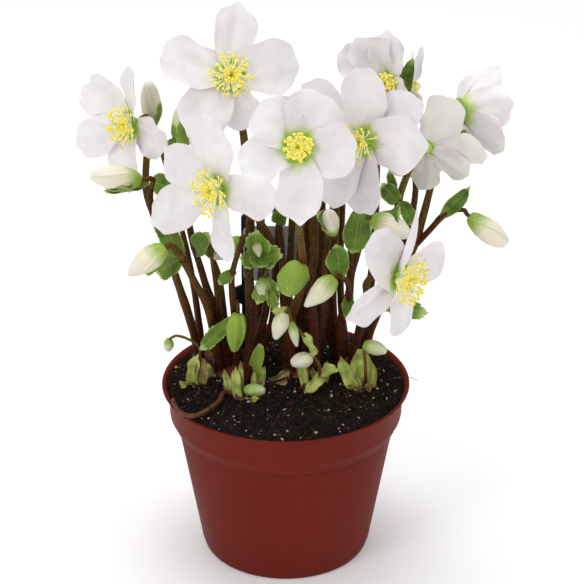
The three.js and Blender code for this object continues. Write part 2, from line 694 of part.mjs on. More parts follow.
// Bract whorls, each on a short sleeve round its stem
const whorls = {
  bracts_bud_1: {
    side: "left",
    sleeve: [[-79, 15.5, 231], [-78, 14, 238]],
    around: 3.2,
    leaves: [
      { base: [-77, 14, 236], tip: [-59, 4, 237], width: 17, cup: 0.35 },
      { base: [-80, 13, 236], tip: [-104, 2, 236], width: 10, face: [0, -0.3, 1], bend: 24, cup: 0.5 },
    ],
  },
  bracts_bud_4: {
    side: "midLeft",
    sleeve: [[-60, -14.4, 199], [-62, -17.5, 205]],
    around: 4.6,
    leaves: [
      { base: [-61, -16, 201], tip: [-74, -4, 221], width: 13, cup: 0.25 },
      { base: [-61, -16, 200], tip: [-75, -13, 188], width: 14, face: [-0.3, -1, 0.5], cup: 0.3 },
    ],
  },
  bracts_mid: {
    side: "midLeft",
    sleeve: [[-21.8, 7.2, 183], [-21.9, 8.4, 191]],
    around: 5,
    pedicels: [
      [2.8, [[-20, 5, 186], [-15.5, 3.2, 190.5], [-16.5, 2.6, 202]]],
      [2.6, [[-15.5, 2.5, 190], [-10.5, -1, 189.5], [-13.5, -4, 180]]],
    ],
    buds: [
      { base: [-17, 2, 204], tip: [-15.6, -5, 196.5], width: 6.5, sides: 6 },
      { base: [-13.5, -4, 183], tip: [-14, -9, 169.5], width: 8, sides: 6 },
    ],
    leaves: [
      { base: [-16, 4.5, 193], tip: [-18.5, 0, 212], width: 9, cup: 0.4 },
      { base: [-14.5, 2.5, 193], tip: [-3, -6, 201.5], width: 11, face: [0, -1, 0.6], bend: -10 },
      { base: [-16.5, 2, 194], tip: [-25, -6, 198], width: 8, face: [0, -1, 0.6], bend: 20 },
      { base: [-12.5, -4, 182], tip: [-7, -8, 170.5], width: 7, face: [0.5, -1, 0.3] },
    ],
  },
  bracts_round: {
    side: "midRight",
    sleeve: [[9.6, -17, 195], [9.9, -20.5, 201]],
    around: 4.6,
    buds: [{ base: [8.6, -22, 202], tip: [0.3, -28, 182.6], width: 15.5 }],
    leaves: [
      { base: [6, -21, 200], tip: [-5, -24, 186.5], width: 8, face: [-1, -0.6, 0.2], bend: -50, cup: 0.4 },
      { base: [7, -25, 201], tip: [-1, -30, 178], width: 13, face: [-0.3, -1, 0.2], cup: 0.5, rows: 4 },
    ],
  },
  leaf_big: {
    side: "right",
    sleeve: [[43, 4.1, 219.5], [44.6, 4.4, 228]],
    around: 4.6,
    leaves: [{ base: [44, 2, 225], tip: [39.5, -8, 201], width: 16.5, cup: 0.25, rows: 6 }],
  },
  leaf_bud_7: {
    side: "right",
    sleeve: [[34.4, -14, 187], [31.6, -18.6, 191]],
    around: 3,
    leaves: [{ base: [32, -17, 189], tip: [30, -15, 209], width: 13, cup: 0.2 }],
  },
  bracts_bloom_8: {
    side: "right",
    sleeve: [[65.7, -2.4, 229], [67, -4.4, 238]],
    around: 4.4,
    leaves: [
      { base: [66, -5, 233], tip: [56, -11, 246], width: 10 },
      { base: [65, -4, 235], tip: [60, -2, 250], width: 5 },
      { base: [67, -5, 233], tip: [74, -14, 222], width: 8.5, face: [0.3, -1, 0.3] },
    ],
  },
  bract_bloom_7: {
    side: "right",
    sleeve: [[65.6, 39, 257.5], [60, 41, 265]],
    around: 3.6,
    leaves: [{ base: [61, 40, 264], tip: [73.5, 27, 309], width: 11, face: [0, -1, 0.2], rows: 6 }],
  },
  leaf_bud_5: {
    side: "right",
    sleeve: [[88.5, 5.1, 213.8], [94.5, 3.4, 221]],
    around: 3.2,
    leaves: [{ base: [92, 4, 219], tip: [107, -1, 240], width: 9, cup: 0.5 }],
  },
};

function makeWhorls(fat) {
  for (const [name, whorl] of Object.entries(whorls)) {
    const solids = [tube(whorl.sleeve, whorl.around / 2 + clearance + 1.3)];
    solids.push(...whorl.leaves.map(leaf));
    solids.push(...(whorl.buds ?? []).map(bud));
    const pedicels = whorl.pedicels ?? [];
    solids.push(...pedicels.map(([diameter, points]) => tube(points, diameter / 2, thinStemSides)));
    const cut = joined(solids).subtract(fat[whorl.side]);
    addPiece(name, geometryOf(largestBody(cut)), bractGreen);
  }
}

// Closed buds, each at the end of its own stem
const buds = {
  bud_1: { base: [-86, 6.5, 241.6], tip: [-113, -5, 249], width: 15 },
  bud_2: { base: [-79, 50, 258.6], tip: [-81, 46, 287], width: 12 },
  bud_3: { base: [-60, 18.4, 258.5], tip: [-62, 22, 281], width: 11 },
  bud_4: { base: [-70.4, -27.6, 213], tip: [-91, -36, 200], width: 14.5 },
  bud_5: { base: [108.6, -1.4, 220.8], tip: [130, -8, 206], width: 14 },
  bud_6: { base: [51, -25.6, 231], tip: [72, -35, 225], width: 14.5 },
  bud_7: { base: [28, -22.6, 190.6], tip: [11, -31, 177], width: 13 },
  bud_8: { base: [-27.5, 5.5, 202.5], tip: [-43, 6, 190], width: 11 },
  bud_9: { base: [27.5, -7, 213.4], tip: [25, -9, 229], width: 10.5 },
};
const budLeaves = {
  bud_3: [{ base: [-60, 17.5, 260], tip: [-69, 13.5, 262], width: 7 }],
  bud_6: [{ base: [51.5, -26, 232], tip: [65, -31, 238.5], width: 14, face: [0, 0.5, -1], cup: 0.4 }],
  bud_9: [{ base: [26.5, -7, 215], tip: [19, -8, 226], width: 12, face: [1, -0.6, 0], cup: 0.4 }],
};

function makeBuds() {
  for (const [name, shape] of Object.entries(buds)) {
    const solids = [bud(shape), ...(budLeaves[name] ?? []).map(leaf)];
    addPiece(name, geometryOf(joined(solids)), budCream);
  }
}

// Young shoots and sheaths at the soil
// Each spray has a root in the soil, blades from it, and small buds on arched pedicels
const sprays = {
  spray_left: {
    root: [-27, -20, 6],
    blades: [
      { base: [-29, -21, 113], tip: [-30, -15, 128], width: 6 },
      { base: [-27, -16, 113], tip: [-27, -12, 130], width: 4 },
      { base: [-31, -18, 113], tip: [-37, -11, 124], width: 5 },
      { base: [-24, -17, 113.5], tip: [-13, -12, 116.5], width: 6 },
      { base: [-24, -23, 113.5], tip: [-16, -29, 115], width: 4 },
    ],
    pedicels: [
      [3, [[-29, -20, 112], [-36.9, -19.5, 113.5], [-39.6, -32.2, 114.5], [-46.4, -43, 114.5],
        [-53.2, -50, 114.9], [-59.1, -49, 114.9], [-64, -42, 114.9], [-67, -31, 114.9]]],
    ],
    buds: [{ base: [-25, -20, 115.5], tip: [-12, -25, 117.5], width: 8, sides: 6 }],
  },
  spray_far_left: {
    root: [-54, -3, 5],
    blades: [
      { base: [-56, -4, 112.5], tip: [-53, -1, 129], width: 8, face: [-0.5, -1, 0.3] },
      { base: [-52, -4, 112.5], tip: [-50, 0, 127], width: 8, bend: -40 },
    ],
    pedicels: [[2, [[-54, -3, 107], [-52, -2.5, 125], [-52, -3, 135], [-58, -2, 140], [-66, 1, 141],
      [-70.5, 3, 137]]]],
    buds: [{ base: [-70.5, 3, 138], tip: [-71, 3, 129.5], width: 6.5, sides: 6 }],
  },
  spray_middle: {
    root: [14, -12, 7],
    blades: [
      { base: [12, -10, 113], tip: [9, -2, 130], width: 6 },
      { base: [22, -11, 122], tip: [11.5, -20, 113.6], width: 7, face: [0.4, -1, 0.6] },
      { base: [20.5, -12, 122], tip: [31.4, -13, 125], width: 8, face: [0, -0.7, 1], cup: 0.6 },
      { base: [0, -17, 168], tip: [-8, -20, 168.5], width: 5 },
      { base: [10, -16.5, 151], tip: [17, -20, 138], width: 6, face: [1, -1, 0.4] },
    ],
    pedicels: [
      [2.4, [[17, -12, 109], [20.5, -13, 122], [19.5, -15, 131], [15.5, -17, 137]]],
      [2.6, [[18, -14, 128], [14, -16, 144], [7, -16.5, 155], [2.6, -16.5, 162], [1, -15.5, 169],
        [-1, -18, 165]]],
    ],
    buds: [
      { base: [16, -17, 136.2], tip: [3, -22, 134.5], width: 10, sides: 6 },
      { base: [-0.9, -18, 167], tip: [-6.2, -23, 150.8], width: 10, sides: 6 },
      { base: [3, -18, 160.5], tip: [6.8, -21, 145], width: 6, sides: 6 },
    ],
  },
  spray_right: {
    root: [44, -8, 7],
    blades: [
      { base: [49, -7, 112.5], tip: [45, 0, 133], width: 14, cup: 0.6 },
      { base: [41, -10, 112.5], tip: [33, -4, 129], width: 8, cup: 0.4 },
      { base: [45, -10, 112.5], tip: [40, -6, 121], width: 5 },
    ],
    pedicels: [[2.4, [[48, -8, 109], [48, -10, 124], [46.8, -10.7, 139]]]],
    buds: [{ base: [46, -10.5, 141], tip: [60.4, -17, 140], width: 9, sides: 6 }],
  },
};

function makeSprays(fat) {
  const everyStem = joined(Object.values(fat));
  for (const [name, spray] of Object.entries(sprays)) {
    const [x, y, radius] = spray.root;
    const topZ = soilHeight(x, y) + 2.5;
    const solids = [solidOf(roundPost(radius, sprayFootZ, topZ, x, y, 8))];
    solids.push(...spray.blades.map(leaf));
    solids.push(...spray.pedicels.map(([diameter, points]) => tube(points, diameter / 2, thinStemSides)));
    solids.push(...spray.buds.map(bud));
    const cut = joined(solids).subtract(everyStem);
    addPiece(name, geometryOf(largestBody(cut)), bractGreen);
  }
}

// A post with an arched bar to the right and a lug to the left, cut from one sheet
function makeLabelHolder() {
  const outline = new THREE.Shape();
  outline.moveTo(postLeft, postFootZ);
  outline.lineTo(postRight, postFootZ);
  outline.lineTo(postRight, 197);
  outline.quadraticCurveTo(-20, 203, -2, 203);
  outline.quadraticCurveTo(12, 203, 20, 194.5);
  outline.lineTo(23, 198.5);
  outline.quadraticCurveTo(14, 208.5, -2, 208.5);
  outline.quadraticCurveTo(-25, 208.5, postLeft, 199);
  outline.lineTo(postLeft, 153);
  outline.lineTo(postLeft - 4.3, 151);
  outline.lineTo(postLeft - 4.3, 143);
  outline.lineTo(postLeft, 140);
  const options = { depth: holderDepth, bevelEnabled: false, curveSegments: 4 };
  const holder = new THREE.ExtrudeGeometry(outline, options);
  holder.rotateX(Math.PI / 2).translate(0, holderY + holderDepth, 0);
  addPiece("tag_frame", geometryOf(solidOf(holder)), darkPlastic);
}

// The blank card, with round corners, just in front of the holder
function makeCard() {
  const [left, right, foot, top, corner] = [-26, 35.5, 157, 194, 5];
  const outline = new THREE.Shape();
  outline.moveTo(left + corner, foot);
  outline.lineTo(right - corner, foot);
  outline.quadraticCurveTo(right, foot, right, foot + corner);
  outline.lineTo(right, top - corner);
  outline.quadraticCurveTo(right, top, right - corner, top);
  outline.lineTo(left + corner, top);
  outline.quadraticCurveTo(left, top, left, top - corner);
  outline.lineTo(left, foot + corner);
  outline.quadraticCurveTo(left, foot, left + corner, foot);
  const options = { depth: cardThickness, bevelEnabled: false, curveSegments: 3 };
  const card = new THREE.ExtrudeGeometry(outline, options);
  card.rotateX(Math.PI / 2).translate(0, holderY - clearance, 0);
  addPiece("tag_card", geometryOf(solidOf(card)), cardBoard);
}

function makeSoil() {
  let soil = solidOf(soilGeometry());
  const slot = new THREE.BoxGeometry(
    postRight - postLeft + 2 * clearance,
    holderDepth + 2 * clearance,
    40,
  );
  slot.translate((postLeft + postRight) / 2, holderY + holderDepth / 2, postFootZ - clearance + 20);
  soil = soil.subtract(solidOf(slot));
  for (const clump of Object.values(clumps)) {
    const [x, y, radius] = clump.crown;
    const footZ = crownFootZ - clearance;
    soil = soil.subtract(solidOf(roundPost(radius + clearance, footZ, potHeight + 20, x, y, 10)));
  }
  for (const spray of Object.values(sprays)) {
    const [x, y, radius] = spray.root;
    const footZ = sprayFootZ - clearance;
    soil = soil.subtract(solidOf(roundPost(radius + clearance, footZ, potHeight + 20, x, y, 8)));
  }
  addPiece("soil", geometryOf(soil), peat);
}

makePot();
makeSoil();
makeLabelHolder();
makeCard();
blooms.forEach((bloom, i) => makeBloom(bloom, i + 1));
const fatStems = makeClumps();
makeWhorls(fatStems);
makeBuds();
makeSprays(fatStems);

export default plant;
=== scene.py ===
# A white-flowered hellebore in its plastic nursery pot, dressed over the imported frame
import math

import bpy
import numpy as np
from mathutils import Euler, Matrix, Vector, noise


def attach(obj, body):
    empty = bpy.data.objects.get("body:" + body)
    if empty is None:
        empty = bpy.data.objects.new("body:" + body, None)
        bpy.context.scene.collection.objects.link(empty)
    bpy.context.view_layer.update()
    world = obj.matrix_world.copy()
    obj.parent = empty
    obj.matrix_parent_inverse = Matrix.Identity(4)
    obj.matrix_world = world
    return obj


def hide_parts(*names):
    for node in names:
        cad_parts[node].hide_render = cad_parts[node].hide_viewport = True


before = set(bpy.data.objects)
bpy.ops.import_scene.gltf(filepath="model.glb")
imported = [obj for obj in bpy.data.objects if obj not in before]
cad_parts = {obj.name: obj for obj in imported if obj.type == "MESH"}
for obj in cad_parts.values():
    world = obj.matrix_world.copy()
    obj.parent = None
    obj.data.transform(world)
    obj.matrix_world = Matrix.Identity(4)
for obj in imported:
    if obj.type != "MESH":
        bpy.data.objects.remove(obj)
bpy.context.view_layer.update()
mm = 0.001  # the tables are in millimetres, where no note says metres
goldenAngle = math.pi * (3 - math.sqrt(5))
print("frame loaded:", len(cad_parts), "nodes")


# Helpers for nodes and colours
def rgb(red, green, blue):  # a screen colour, 0 to 255, as the shader's linear one
    channels = [c / 255 for c in (red, green, blue)]
    return tuple(c / 12.92 if c < 0.04 else ((c + 0.055) / 1.055) ** 2.4 for c in channels) + (1.0,)


def wire(tree, kind, inputs=None, **settings):  # adds a node; a socket given as a value is linked
    node = tree.nodes.new(kind)
    for name, value in settings.items():
        setattr(node, name, value)
    for key, value in (inputs or {}).items():
        if isinstance(value, bpy.types.NodeSocket):
            tree.links.new(value, node.inputs[key])
        else:
            node.inputs[key].default_value = value
    return node


def made(tree, kind, inputs=None, **settings):  # adds a node and gives its first output
    return wire(tree, kind, inputs, **settings).outputs[0]


def sums(tree, operation, first, second=0.0, third=0.0):
    return made(tree, "ShaderNodeMath", {0: first, 1: second, 2: third}, operation=operation)


def spread(tree, value, low, high, fromZero=0.0, fromOne=1.0):  # a value's range moved to another, clamped
    places = {"From Min": low, "From Max": high, "To Min": fromZero, "To Max": fromOne}
    return wire(tree, "ShaderNodeMapRange", {"Value": value, **places}).outputs["Result"]


def tint(tree, factor, first, second):
    inputs = {0: factor, 6: first, 7: second}
    return wire(tree, "ShaderNodeMix", inputs, data_type="RGBA").outputs[2]


def layered(tree, colour, over, mask, *reach):  # a second colour laid over where the mask is high
    return tint(tree, spread(tree, mask, *reach), colour, over)


def grainNoise(tree, vector, scale, detail=3.0, roughness=0.55):
    inputs = {"Vector": vector, "Scale": scale, "Detail": detail, "Roughness": roughness}
    return made(tree, "ShaderNodeTexNoise", inputs)


def stretched(tree, vector, size, shift=(0.0, 0.0, 0.0)):
    return made(tree, "ShaderNodeMapping", {"Vector": vector, "Scale": size, "Location": shift})


def place(tree):  # where a point is on the plant, in metres
    return wire(tree, "ShaderNodeTexCoord").outputs["Object"]


def grain(tree):  # across a blade -1 to 1, along it 0 to 1, and its own tone
    attribute = wire(tree, "ShaderNodeAttribute", attribute_name="grain", attribute_type="GEOMETRY")
    vector = attribute.outputs["Vector"]
    parts = wire(tree, "ShaderNodeSeparateXYZ", {0: vector})
    return vector, parts.outputs[0], parts.outputs[1], parts.outputs[2]


def newMaterial(name, **sockets):
    material = bpy.data.materials.new(name)
    material.use_nodes = True
    tree = material.node_tree
    shader = tree.nodes["Principled BSDF"]
    for socket, value in sockets.items():
        shader.inputs[socket.replace("_", " ")].default_value = value
    return material, tree, shader


def finishOf(tree, shader, colour, height, depth, strength, roughness=None):
    tree.links.new(colour, shader.inputs["Base Color"])
    if roughness is not None:
        tree.links.new(roughness, shader.inputs["Roughness"])
    bump = wire(tree, "ShaderNodeBump", {"Height": height, "Distance": depth, "Strength": strength})
    tree.links.new(bump.outputs["Normal"], shader.inputs["Normal"])


# The finishes, each from its own dictionary. Clouds, specks and the like are how many on a metre;
# bump is the depth in metres and the strength of the relief.
tepalLook = {
    "white": rgb(247, 244, 245), "shade": rgb(230, 223, 227), "blush": rgb(243, 230, 234),
    "green": rgb(178, 210, 70), "cream": rgb(240, 233, 205), "veins": 26, "roughness": 0.55,
    "flush": (0.3, 0.95), "flushStrength": 0.9, "clouds": 55.0, "bump": (0.0004, 0.3),
}


def makeTepalWhite(look):
    material, tree, shader = newMaterial(
        "tepalWhite", Roughness=look["roughness"], Sheen_Weight=0.12, Subsurface_Weight=0.18,
        Subsurface_Radius=(1.0, 0.95, 0.85), Subsurface_Scale=0.0025,
    )
    vector, across, along, tone = grain(tree)
    streaks = grainNoise(tree, stretched(tree, vector, (look["veins"], 1.6, 9.0)), 1.0, 2.0)
    clouds = grainNoise(tree, place(tree), look["clouds"], 2.0)
    colour = layered(tree, look["white"], look["shade"], clouds, 0.35, 0.7)
    edge = spread(tree, sums(tree, "ABSOLUTE", across), 0.55, 1.0, 0.0, 0.5)
    colour = tint(tree, edge, colour, look["blush"])
    colour = layered(tree, colour, look["shade"], streaks, 0.52, 0.72, 0.0, 0.3)
    colour = tint(tree, sums(tree, "MAXIMUM", tone, 0.0), colour, look["cream"])
    midrib = spread(tree, sums(tree, "ABSOLUTE", across), 0.0, 0.6, 0.24, 0.13)
    midrib = sums(tree, "MULTIPLY", midrib, spread(tree, tone, -1.0, 0.0, 1.8, 1.0))
    midrib = sums(tree, "MULTIPLY", midrib, spread(tree, tone, 0.0, 0.3, 1.0, 0.3))
    flush = sums(tree, "DIVIDE", along, midrib)
    colour = layered(tree, colour, look["green"], flush, *look["flush"], look["flushStrength"], 0.0)
    finishOf(tree, shader, colour, streaks, *look["bump"])
    return material


bractLook = {
    "deep": rgb(100, 134, 44), "dark": rgb(62, 90, 26), "fresh": rgb(160, 188, 76), "vein": rgb(150, 176, 86),
    "margin": rgb(186, 204, 122), "olive": rgb(122, 134, 50), "veinStrength": 0.7, "roughness": 0.55,
    "clouds": 110.0, "patches": 60.0, "bump": (0.0005, 0.5),
}


def makeBractGreen(look):
    material, tree, shader = newMaterial(
        "bractGreen", Roughness=look["roughness"], Specular_IOR_Level=0.22, Subsurface_Weight=0.06,
        Subsurface_Scale=0.0015,
    )
    vector, across, along, tone = grain(tree)
    clouds = grainNoise(tree, place(tree), look["clouds"])
    leafy = layered(tree, look["deep"], look["dark"], clouds, 0.38, 0.66)
    aside = stretched(tree, place(tree), (1.0, 1.0, 1.0), (0.7, 0.2, 0.1))
    patches = grainNoise(tree, aside, look["patches"], 2.0)
    leafy = layered(tree, leafy, look["olive"], patches, 0.5, 0.75, 0.0, 0.6)
    paler = sums(tree, "ADD", tone, spread(tree, along, 0.0, 0.35, 0.35, 0.0))
    colour = tint(tree, paler, leafy, look["fresh"])
    fan = stretched(tree, vector, (3.0, 3.6, 7.0))
    net = wire(tree, "ShaderNodeTexVoronoi", {"Vector": fan, "Scale": 1.6}, feature="DISTANCE_TO_EDGE")
    veins = spread(tree, net.outputs["Distance"], 0.0, 0.075, 1.0, 0.0)
    rib = spread(tree, sums(tree, "ABSOLUTE", across), 0.0, 0.08, 1.0, 0.0)
    lines = sums(tree, "MAXIMUM", sums(tree, "MULTIPLY", veins, 0.55), rib)
    colour = tint(tree, sums(tree, "MULTIPLY", lines, look["veinStrength"]), colour, look["vein"])
    rim = sums(tree, "MAXIMUM", sums(tree, "ABSOLUTE", across), along)
    colour = layered(tree, colour, look["margin"], rim, 0.88, 0.97, 0.0, 0.85)
    finishOf(tree, shader, colour, lines, *look["bump"])
    return material


budLook = {
    "cream": rgb(240, 234, 208), "tip": rgb(243, 234, 224), "green": rgb(146, 176, 58),
    "fresh": rgb(148, 180, 70), "edge": rgb(196, 196, 138), "roughness": 0.45, "bump": (0.0005, 0.5),
}


def makeBudCream(look):  # tone -1 is all cream, 0 has a green base, 1 is green
    material, tree, shader = newMaterial(
        "budCream", Roughness=look["roughness"], Subsurface_Weight=0.12, Subsurface_Scale=0.002,
    )
    vector, across, along, tone = grain(tree)
    streaks = grainNoise(tree, stretched(tree, vector, (12.0, 1.4, 5.0)), 1.0, 2.0)
    colour = layered(tree, look["cream"], look["tip"], along, 0.45, 0.95)
    wavering = sums(tree, "ADD", along, sums(tree, "MULTIPLY", streaks, -0.3))
    green = sums(tree, "MULTIPLY", spread(tree, wavering, 0.02, 0.3, 1.0, 0.0), spread(tree, tone, -1.0, 0.0))
    colour = tint(tree, green, colour, look["green"])
    leafy = layered(tree, look["fresh"], look["cream"], along, 0.6, 1.0, 0.0, 0.5)
    colour = tint(tree, tone, colour, leafy)
    lapEdge = spread(tree, across, 0.5, 0.66, 0.0, 1.0)
    lapEdge = sums(tree, "MULTIPLY", lapEdge, spread(tree, across, 0.66, 0.74, 1.0, 0.0))
    colour = tint(tree, sums(tree, "MULTIPLY", lapEdge, 0.6), colour, look["edge"])
    colour = layered(tree, colour, look["green"], streaks, 0.5, 0.72, 0.0, 0.3)
    finishOf(tree, shader, colour, streaks, *look["bump"])
    return material


stemLook = {
    "brown": rgb(74, 40, 22), "red": rgb(70, 26, 14), "olive": rgb(112, 92, 34), "speck": rgb(36, 14, 8),
    "foot": rgb(84, 28, 20), "pale": rgb(132, 102, 62), "node": rgb(112, 36, 20), "roughness": 0.55,
    "clouds": 160.0, "specks": 1250.0, "dots": 1500.0, "bump": (0.0003, 0.35),
}


def makeStemBrown(look):  # tone 0 is red-brown, 1 olive
    material, tree, shader = newMaterial("stemBrown", Roughness=look["roughness"], Specular_IOR_Level=0.1)
    redness, along, tone = grain(tree)[1:]
    here = place(tree)
    clouds = grainNoise(tree, stretched(tree, here, (1.0, 1.0, 0.25)), look["clouds"])
    colour = layered(tree, look["brown"], look["red"], clouds, 0.35, 0.65)
    greening = sums(tree, "MULTIPLY", spread(tree, sums(tree, "ADD", along, clouds), 0.6, 1.2), tone)
    colour = tint(tree, greening, colour, look["olive"])
    colour = layered(tree, colour, look["foot"], along, 0.05, 0.4, 0.6, 0.0)
    colour = tint(tree, redness, colour, look["node"])
    specks = grainNoise(tree, stretched(tree, here, (1.0, 1.0, 0.55)), look["specks"], 2.0)
    colour = layered(tree, colour, look["speck"], specks, 0.53, 0.62, 0.0, 0.85)
    dots = grainNoise(tree, stretched(tree, here, (1.0, 1.0, 0.6), (3.0, 0.0, 0.0)), look["dots"], 1.0)
    colour = layered(tree, colour, look["pale"], dots, 0.6, 0.7, 0.0, 0.55)
    finishOf(tree, shader, colour, specks, *look["bump"])
    return material


sheathLook = {
    "green": rgb(146, 168, 58), "pale": rgb(206, 210, 124), "tan": rgb(176, 142, 94), "dark": rgb(86, 58, 38),
    "stripe": rgb(116, 140, 44), "roughness": 0.36, "clouds": 150.0, "bump": (0.0006, 0.6),
}


def makeSheathPale(look):  # papery scales at the soil; tone 0 is fresh, 1 withered
    material, tree, shader = newMaterial(
        "sheathPale", Roughness=look["roughness"], Subsurface_Weight=0.1, Subsurface_Scale=0.0012,
    )
    vector, across, along, tone = grain(tree)
    streaks = grainNoise(tree, stretched(tree, vector, (9.0, 1.2, 7.0)), 1.0, 3.0)
    clouds = grainNoise(tree, place(tree), look["clouds"], 2.0)
    colour = layered(tree, look["pale"], look["green"], clouds, 0.35, 0.62)
    colour = layered(tree, colour, look["stripe"], streaks, 0.5, 0.66, 0.0, 0.45)
    colour = layered(tree, colour, look["pale"], along, 0.0, 0.4, 0.8, 0.0)
    rim = sums(tree, "MAXIMUM", sums(tree, "ABSOLUTE", across), along)
    withered = layered(tree, look["tan"], look["dark"], streaks, 0.42, 0.62)
    spoilt = spread(tree, clouds, 0.45, 0.7, -0.1, 0.35)
    spoilt = sums(tree, "ADD", spread(tree, rim, 0.75, 1.0, 0.0, 0.55), spoilt)
    blotch = sums(tree, "ADD", tone, spoilt)
    colour = tint(tree, spread(tree, blotch, 0.35, 1.0), colour, withered)
    finishOf(tree, shader, colour, streaks, *look["bump"])
    return material


def makePlain(name, first, second, scale, roughness, depth=0.0003, strength=0.4, weight=0.0, glow=0.0):
    material, tree, shader = newMaterial(name, Roughness=roughness, Specular_IOR_Level=0.25)
    clouds = grainNoise(tree, place(tree), scale, 3.0)
    colour = layered(tree, first, second, clouds, 0.35, 0.65)
    finishOf(tree, shader, colour, clouds, depth, strength)
    if weight:
        shader.inputs["Subsurface Weight"].default_value = weight
        shader.inputs["Subsurface Scale"].default_value = 0.0015
        shader.inputs["Emission Color"].default_value = second  # painted glow, in place of light that comes through from behind
        shader.inputs["Emission Strength"].default_value = glow
    return material


potLook = {
    "front": rgb(104, 27, 15), "worn": rgb(122, 42, 28), "dirt": rgb(68, 26, 18), "roughness": 0.55,
    "clouds": 18.0, "specks": 420.0, "fine": 2600.0, "bump": (0.00008, 0.35),
}


def makePotPlastic(look):
    material, tree, shader = newMaterial("potPlastic", Roughness=look["roughness"], Specular_IOR_Level=0.1)
    here = place(tree)
    clouds = grainNoise(tree, here, look["clouds"], 4.0)
    colour = layered(tree, look["front"], look["worn"], clouds, 0.4, 0.75, 0.0, 0.35)
    streaks = grainNoise(tree, stretched(tree, here, (60.0, 60.0, 5.0)), 1.0, 3.0)
    colour = layered(tree, colour, look["worn"], streaks, 0.6, 0.8, 0.0, 0.22)
    specks = grainNoise(tree, here, look["specks"], 2.0)
    colour = layered(tree, colour, look["dirt"], specks, 0.7, 0.78, 0.0, 0.4)
    fine = grainNoise(tree, here, look["fine"], 2.0)
    rough = spread(tree, clouds, 0.3, 0.7, look["roughness"] - 0.06, look["roughness"] + 0.08)
    finishOf(tree, shader, colour, fine, *look["bump"], rough)
    return material


peatLook = {
    "dark": rgb(10, 7, 5), "brown": rgb(38, 26, 17), "moss": rgb(26, 33, 11), "roughness": 0.95,
    "clods": 420.0, "mossClouds": 34.0, "bump": (0.0012, 0.9),
}


def makePeat(look):
    material, tree, shader = newMaterial("peat", Roughness=look["roughness"], Specular_IOR_Level=0.15)
    here = place(tree)
    clods = grainNoise(tree, here, look["clods"], 4.0, 0.7)
    colour = layered(tree, look["dark"], look["brown"], clods, 0.42, 0.7)
    mossy = grainNoise(tree, stretched(tree, here, (1.0, 1.0, 1.0), (0.4, 0.1, 0.0)), look["mossClouds"])
    colour = layered(tree, colour, look["moss"], mossy, 0.52, 0.66, 0.0, 0.7)
    finishOf(tree, shader, colour, clods, *look["bump"])
    return material


finishes = {
    "tepal": makeTepalWhite(tepalLook),
    "bract": makeBractGreen(bractLook),
    "bud": makeBudCream(budLook),
    "stem": makeStemBrown(stemLook),
    "sheath": makeSheathPale(sheathLook),
    "pot": makePotPlastic(potLook),
    "peat": makePeat(peatLook),
    "hub": makePlain("receptacle", rgb(150, 180, 84), rgb(128, 150, 70), 300.0, 0.5),
    "nectary": makePlain("nectaryGreen", rgb(140, 184, 36), rgb(184, 214, 72), 500.0, 0.35, weight=0.15),
    # filament and anther get a painted glow: a faint emission that lightens their sides in shade
    "filament": makePlain("filament", rgb(252, 252, 236), rgb(244, 244, 206), 400.0, 0.5,
                          weight=0.5, glow=0.12),
    "anther": makePlain("anther", rgb(255, 243, 144), rgb(250, 228, 92), 700.0, 0.8, weight=0.5, glow=0.07),
    "carpel": makePlain("carpel", rgb(240, 226, 78), rgb(220, 224, 100), 400.0, 0.5, weight=0.3),
    "perlite": makePlain("perlite", rgb(226, 208, 194), rgb(170, 136, 116), 700.0, 0.8, 0.0004, 0.7),
    "crumb": makePlain("peatCrumb", rgb(11, 8, 6), rgb(46, 29, 19), 260.0, 0.95, 0.0005, 0.8),
    "bark": makePlain("barkCrumb", rgb(84, 44, 28), rgb(48, 26, 18), 300.0, 0.85, 0.0005, 0.8),
    "moss": makePlain("moss", rgb(44, 56, 20), rgb(24, 33, 12), 200.0, 0.85),
    "fibre": makePlain("rootFibre", rgb(92, 60, 42), rgb(48, 30, 22), 300.0, 0.75),
    "withered": makePlain("witheredStalk", rgb(112, 66, 38), rgb(70, 38, 24), 260.0, 0.6, 0.0005, 0.6),
    "holder": makePlain("holderPlastic", rgb(14, 24, 19), rgb(8, 13, 11), 120.0, 0.32, 0.0001, 0.3),
    "card": makePlain("cardSheet", rgb(222, 225, 227), rgb(190, 194, 197), 30.0, 0.4, 0.0001, 0.2),
}
print("finishes ready:", len(finishes))


# Mesh helpers: a patch is {"points", "faces", "grain", "slot"}, in millimetres
def buildMesh(name, patches, slots):
    points = np.concatenate([patch["points"] for patch in patches]) * mm
    grains = np.concatenate([patch["grain"] for patch in patches])
    faces, indices, start = [], [], 0
    for patch in patches:
        faces += [tuple(start + i for i in face) for face in patch["faces"]]
        indices += [patch["slot"]] * len(patch["faces"])
        start += len(patch["points"])
    mesh = bpy.data.meshes.new(name)
    mesh.from_pydata(points.tolist(), [], faces)
    mesh.polygons.foreach_set("material_index", indices)
    mesh.attributes.new("grain", "FLOAT_VECTOR", "POINT").data.foreach_set("vector", grains.ravel())
    for slot in slots:
        mesh.materials.append(finishes[slot])
    mesh.shade_smooth()
    mesh.set_sharp_from_angle(angle=math.radians(62))
    mesh.validate()
    return mesh


def newObject(name, mesh):
    piece = bpy.data.objects.new(name, mesh)
    bpy.context.scene.collection.objects.link(piece)
    return piece


def addPiece(name, mesh, slot, *nodes):
    piece = newObject(name, mesh)
    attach(piece, "root")
    if nodes:
        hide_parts(*nodes)
    return piece


def gridFaces(rows, columns, closed=False):  # quads of a grid of points, row by row
    line = columns if closed else columns + 1
    faces = []
    for row in range(rows):
        for column in range(columns):
            a, b = row * line + column, row * line + (column + 1) % line
            faces.append((a, b, b + line, a + line))
    return faces


def fullTurn(sides):
    return np.arange(sides) * 2 * math.pi / sides


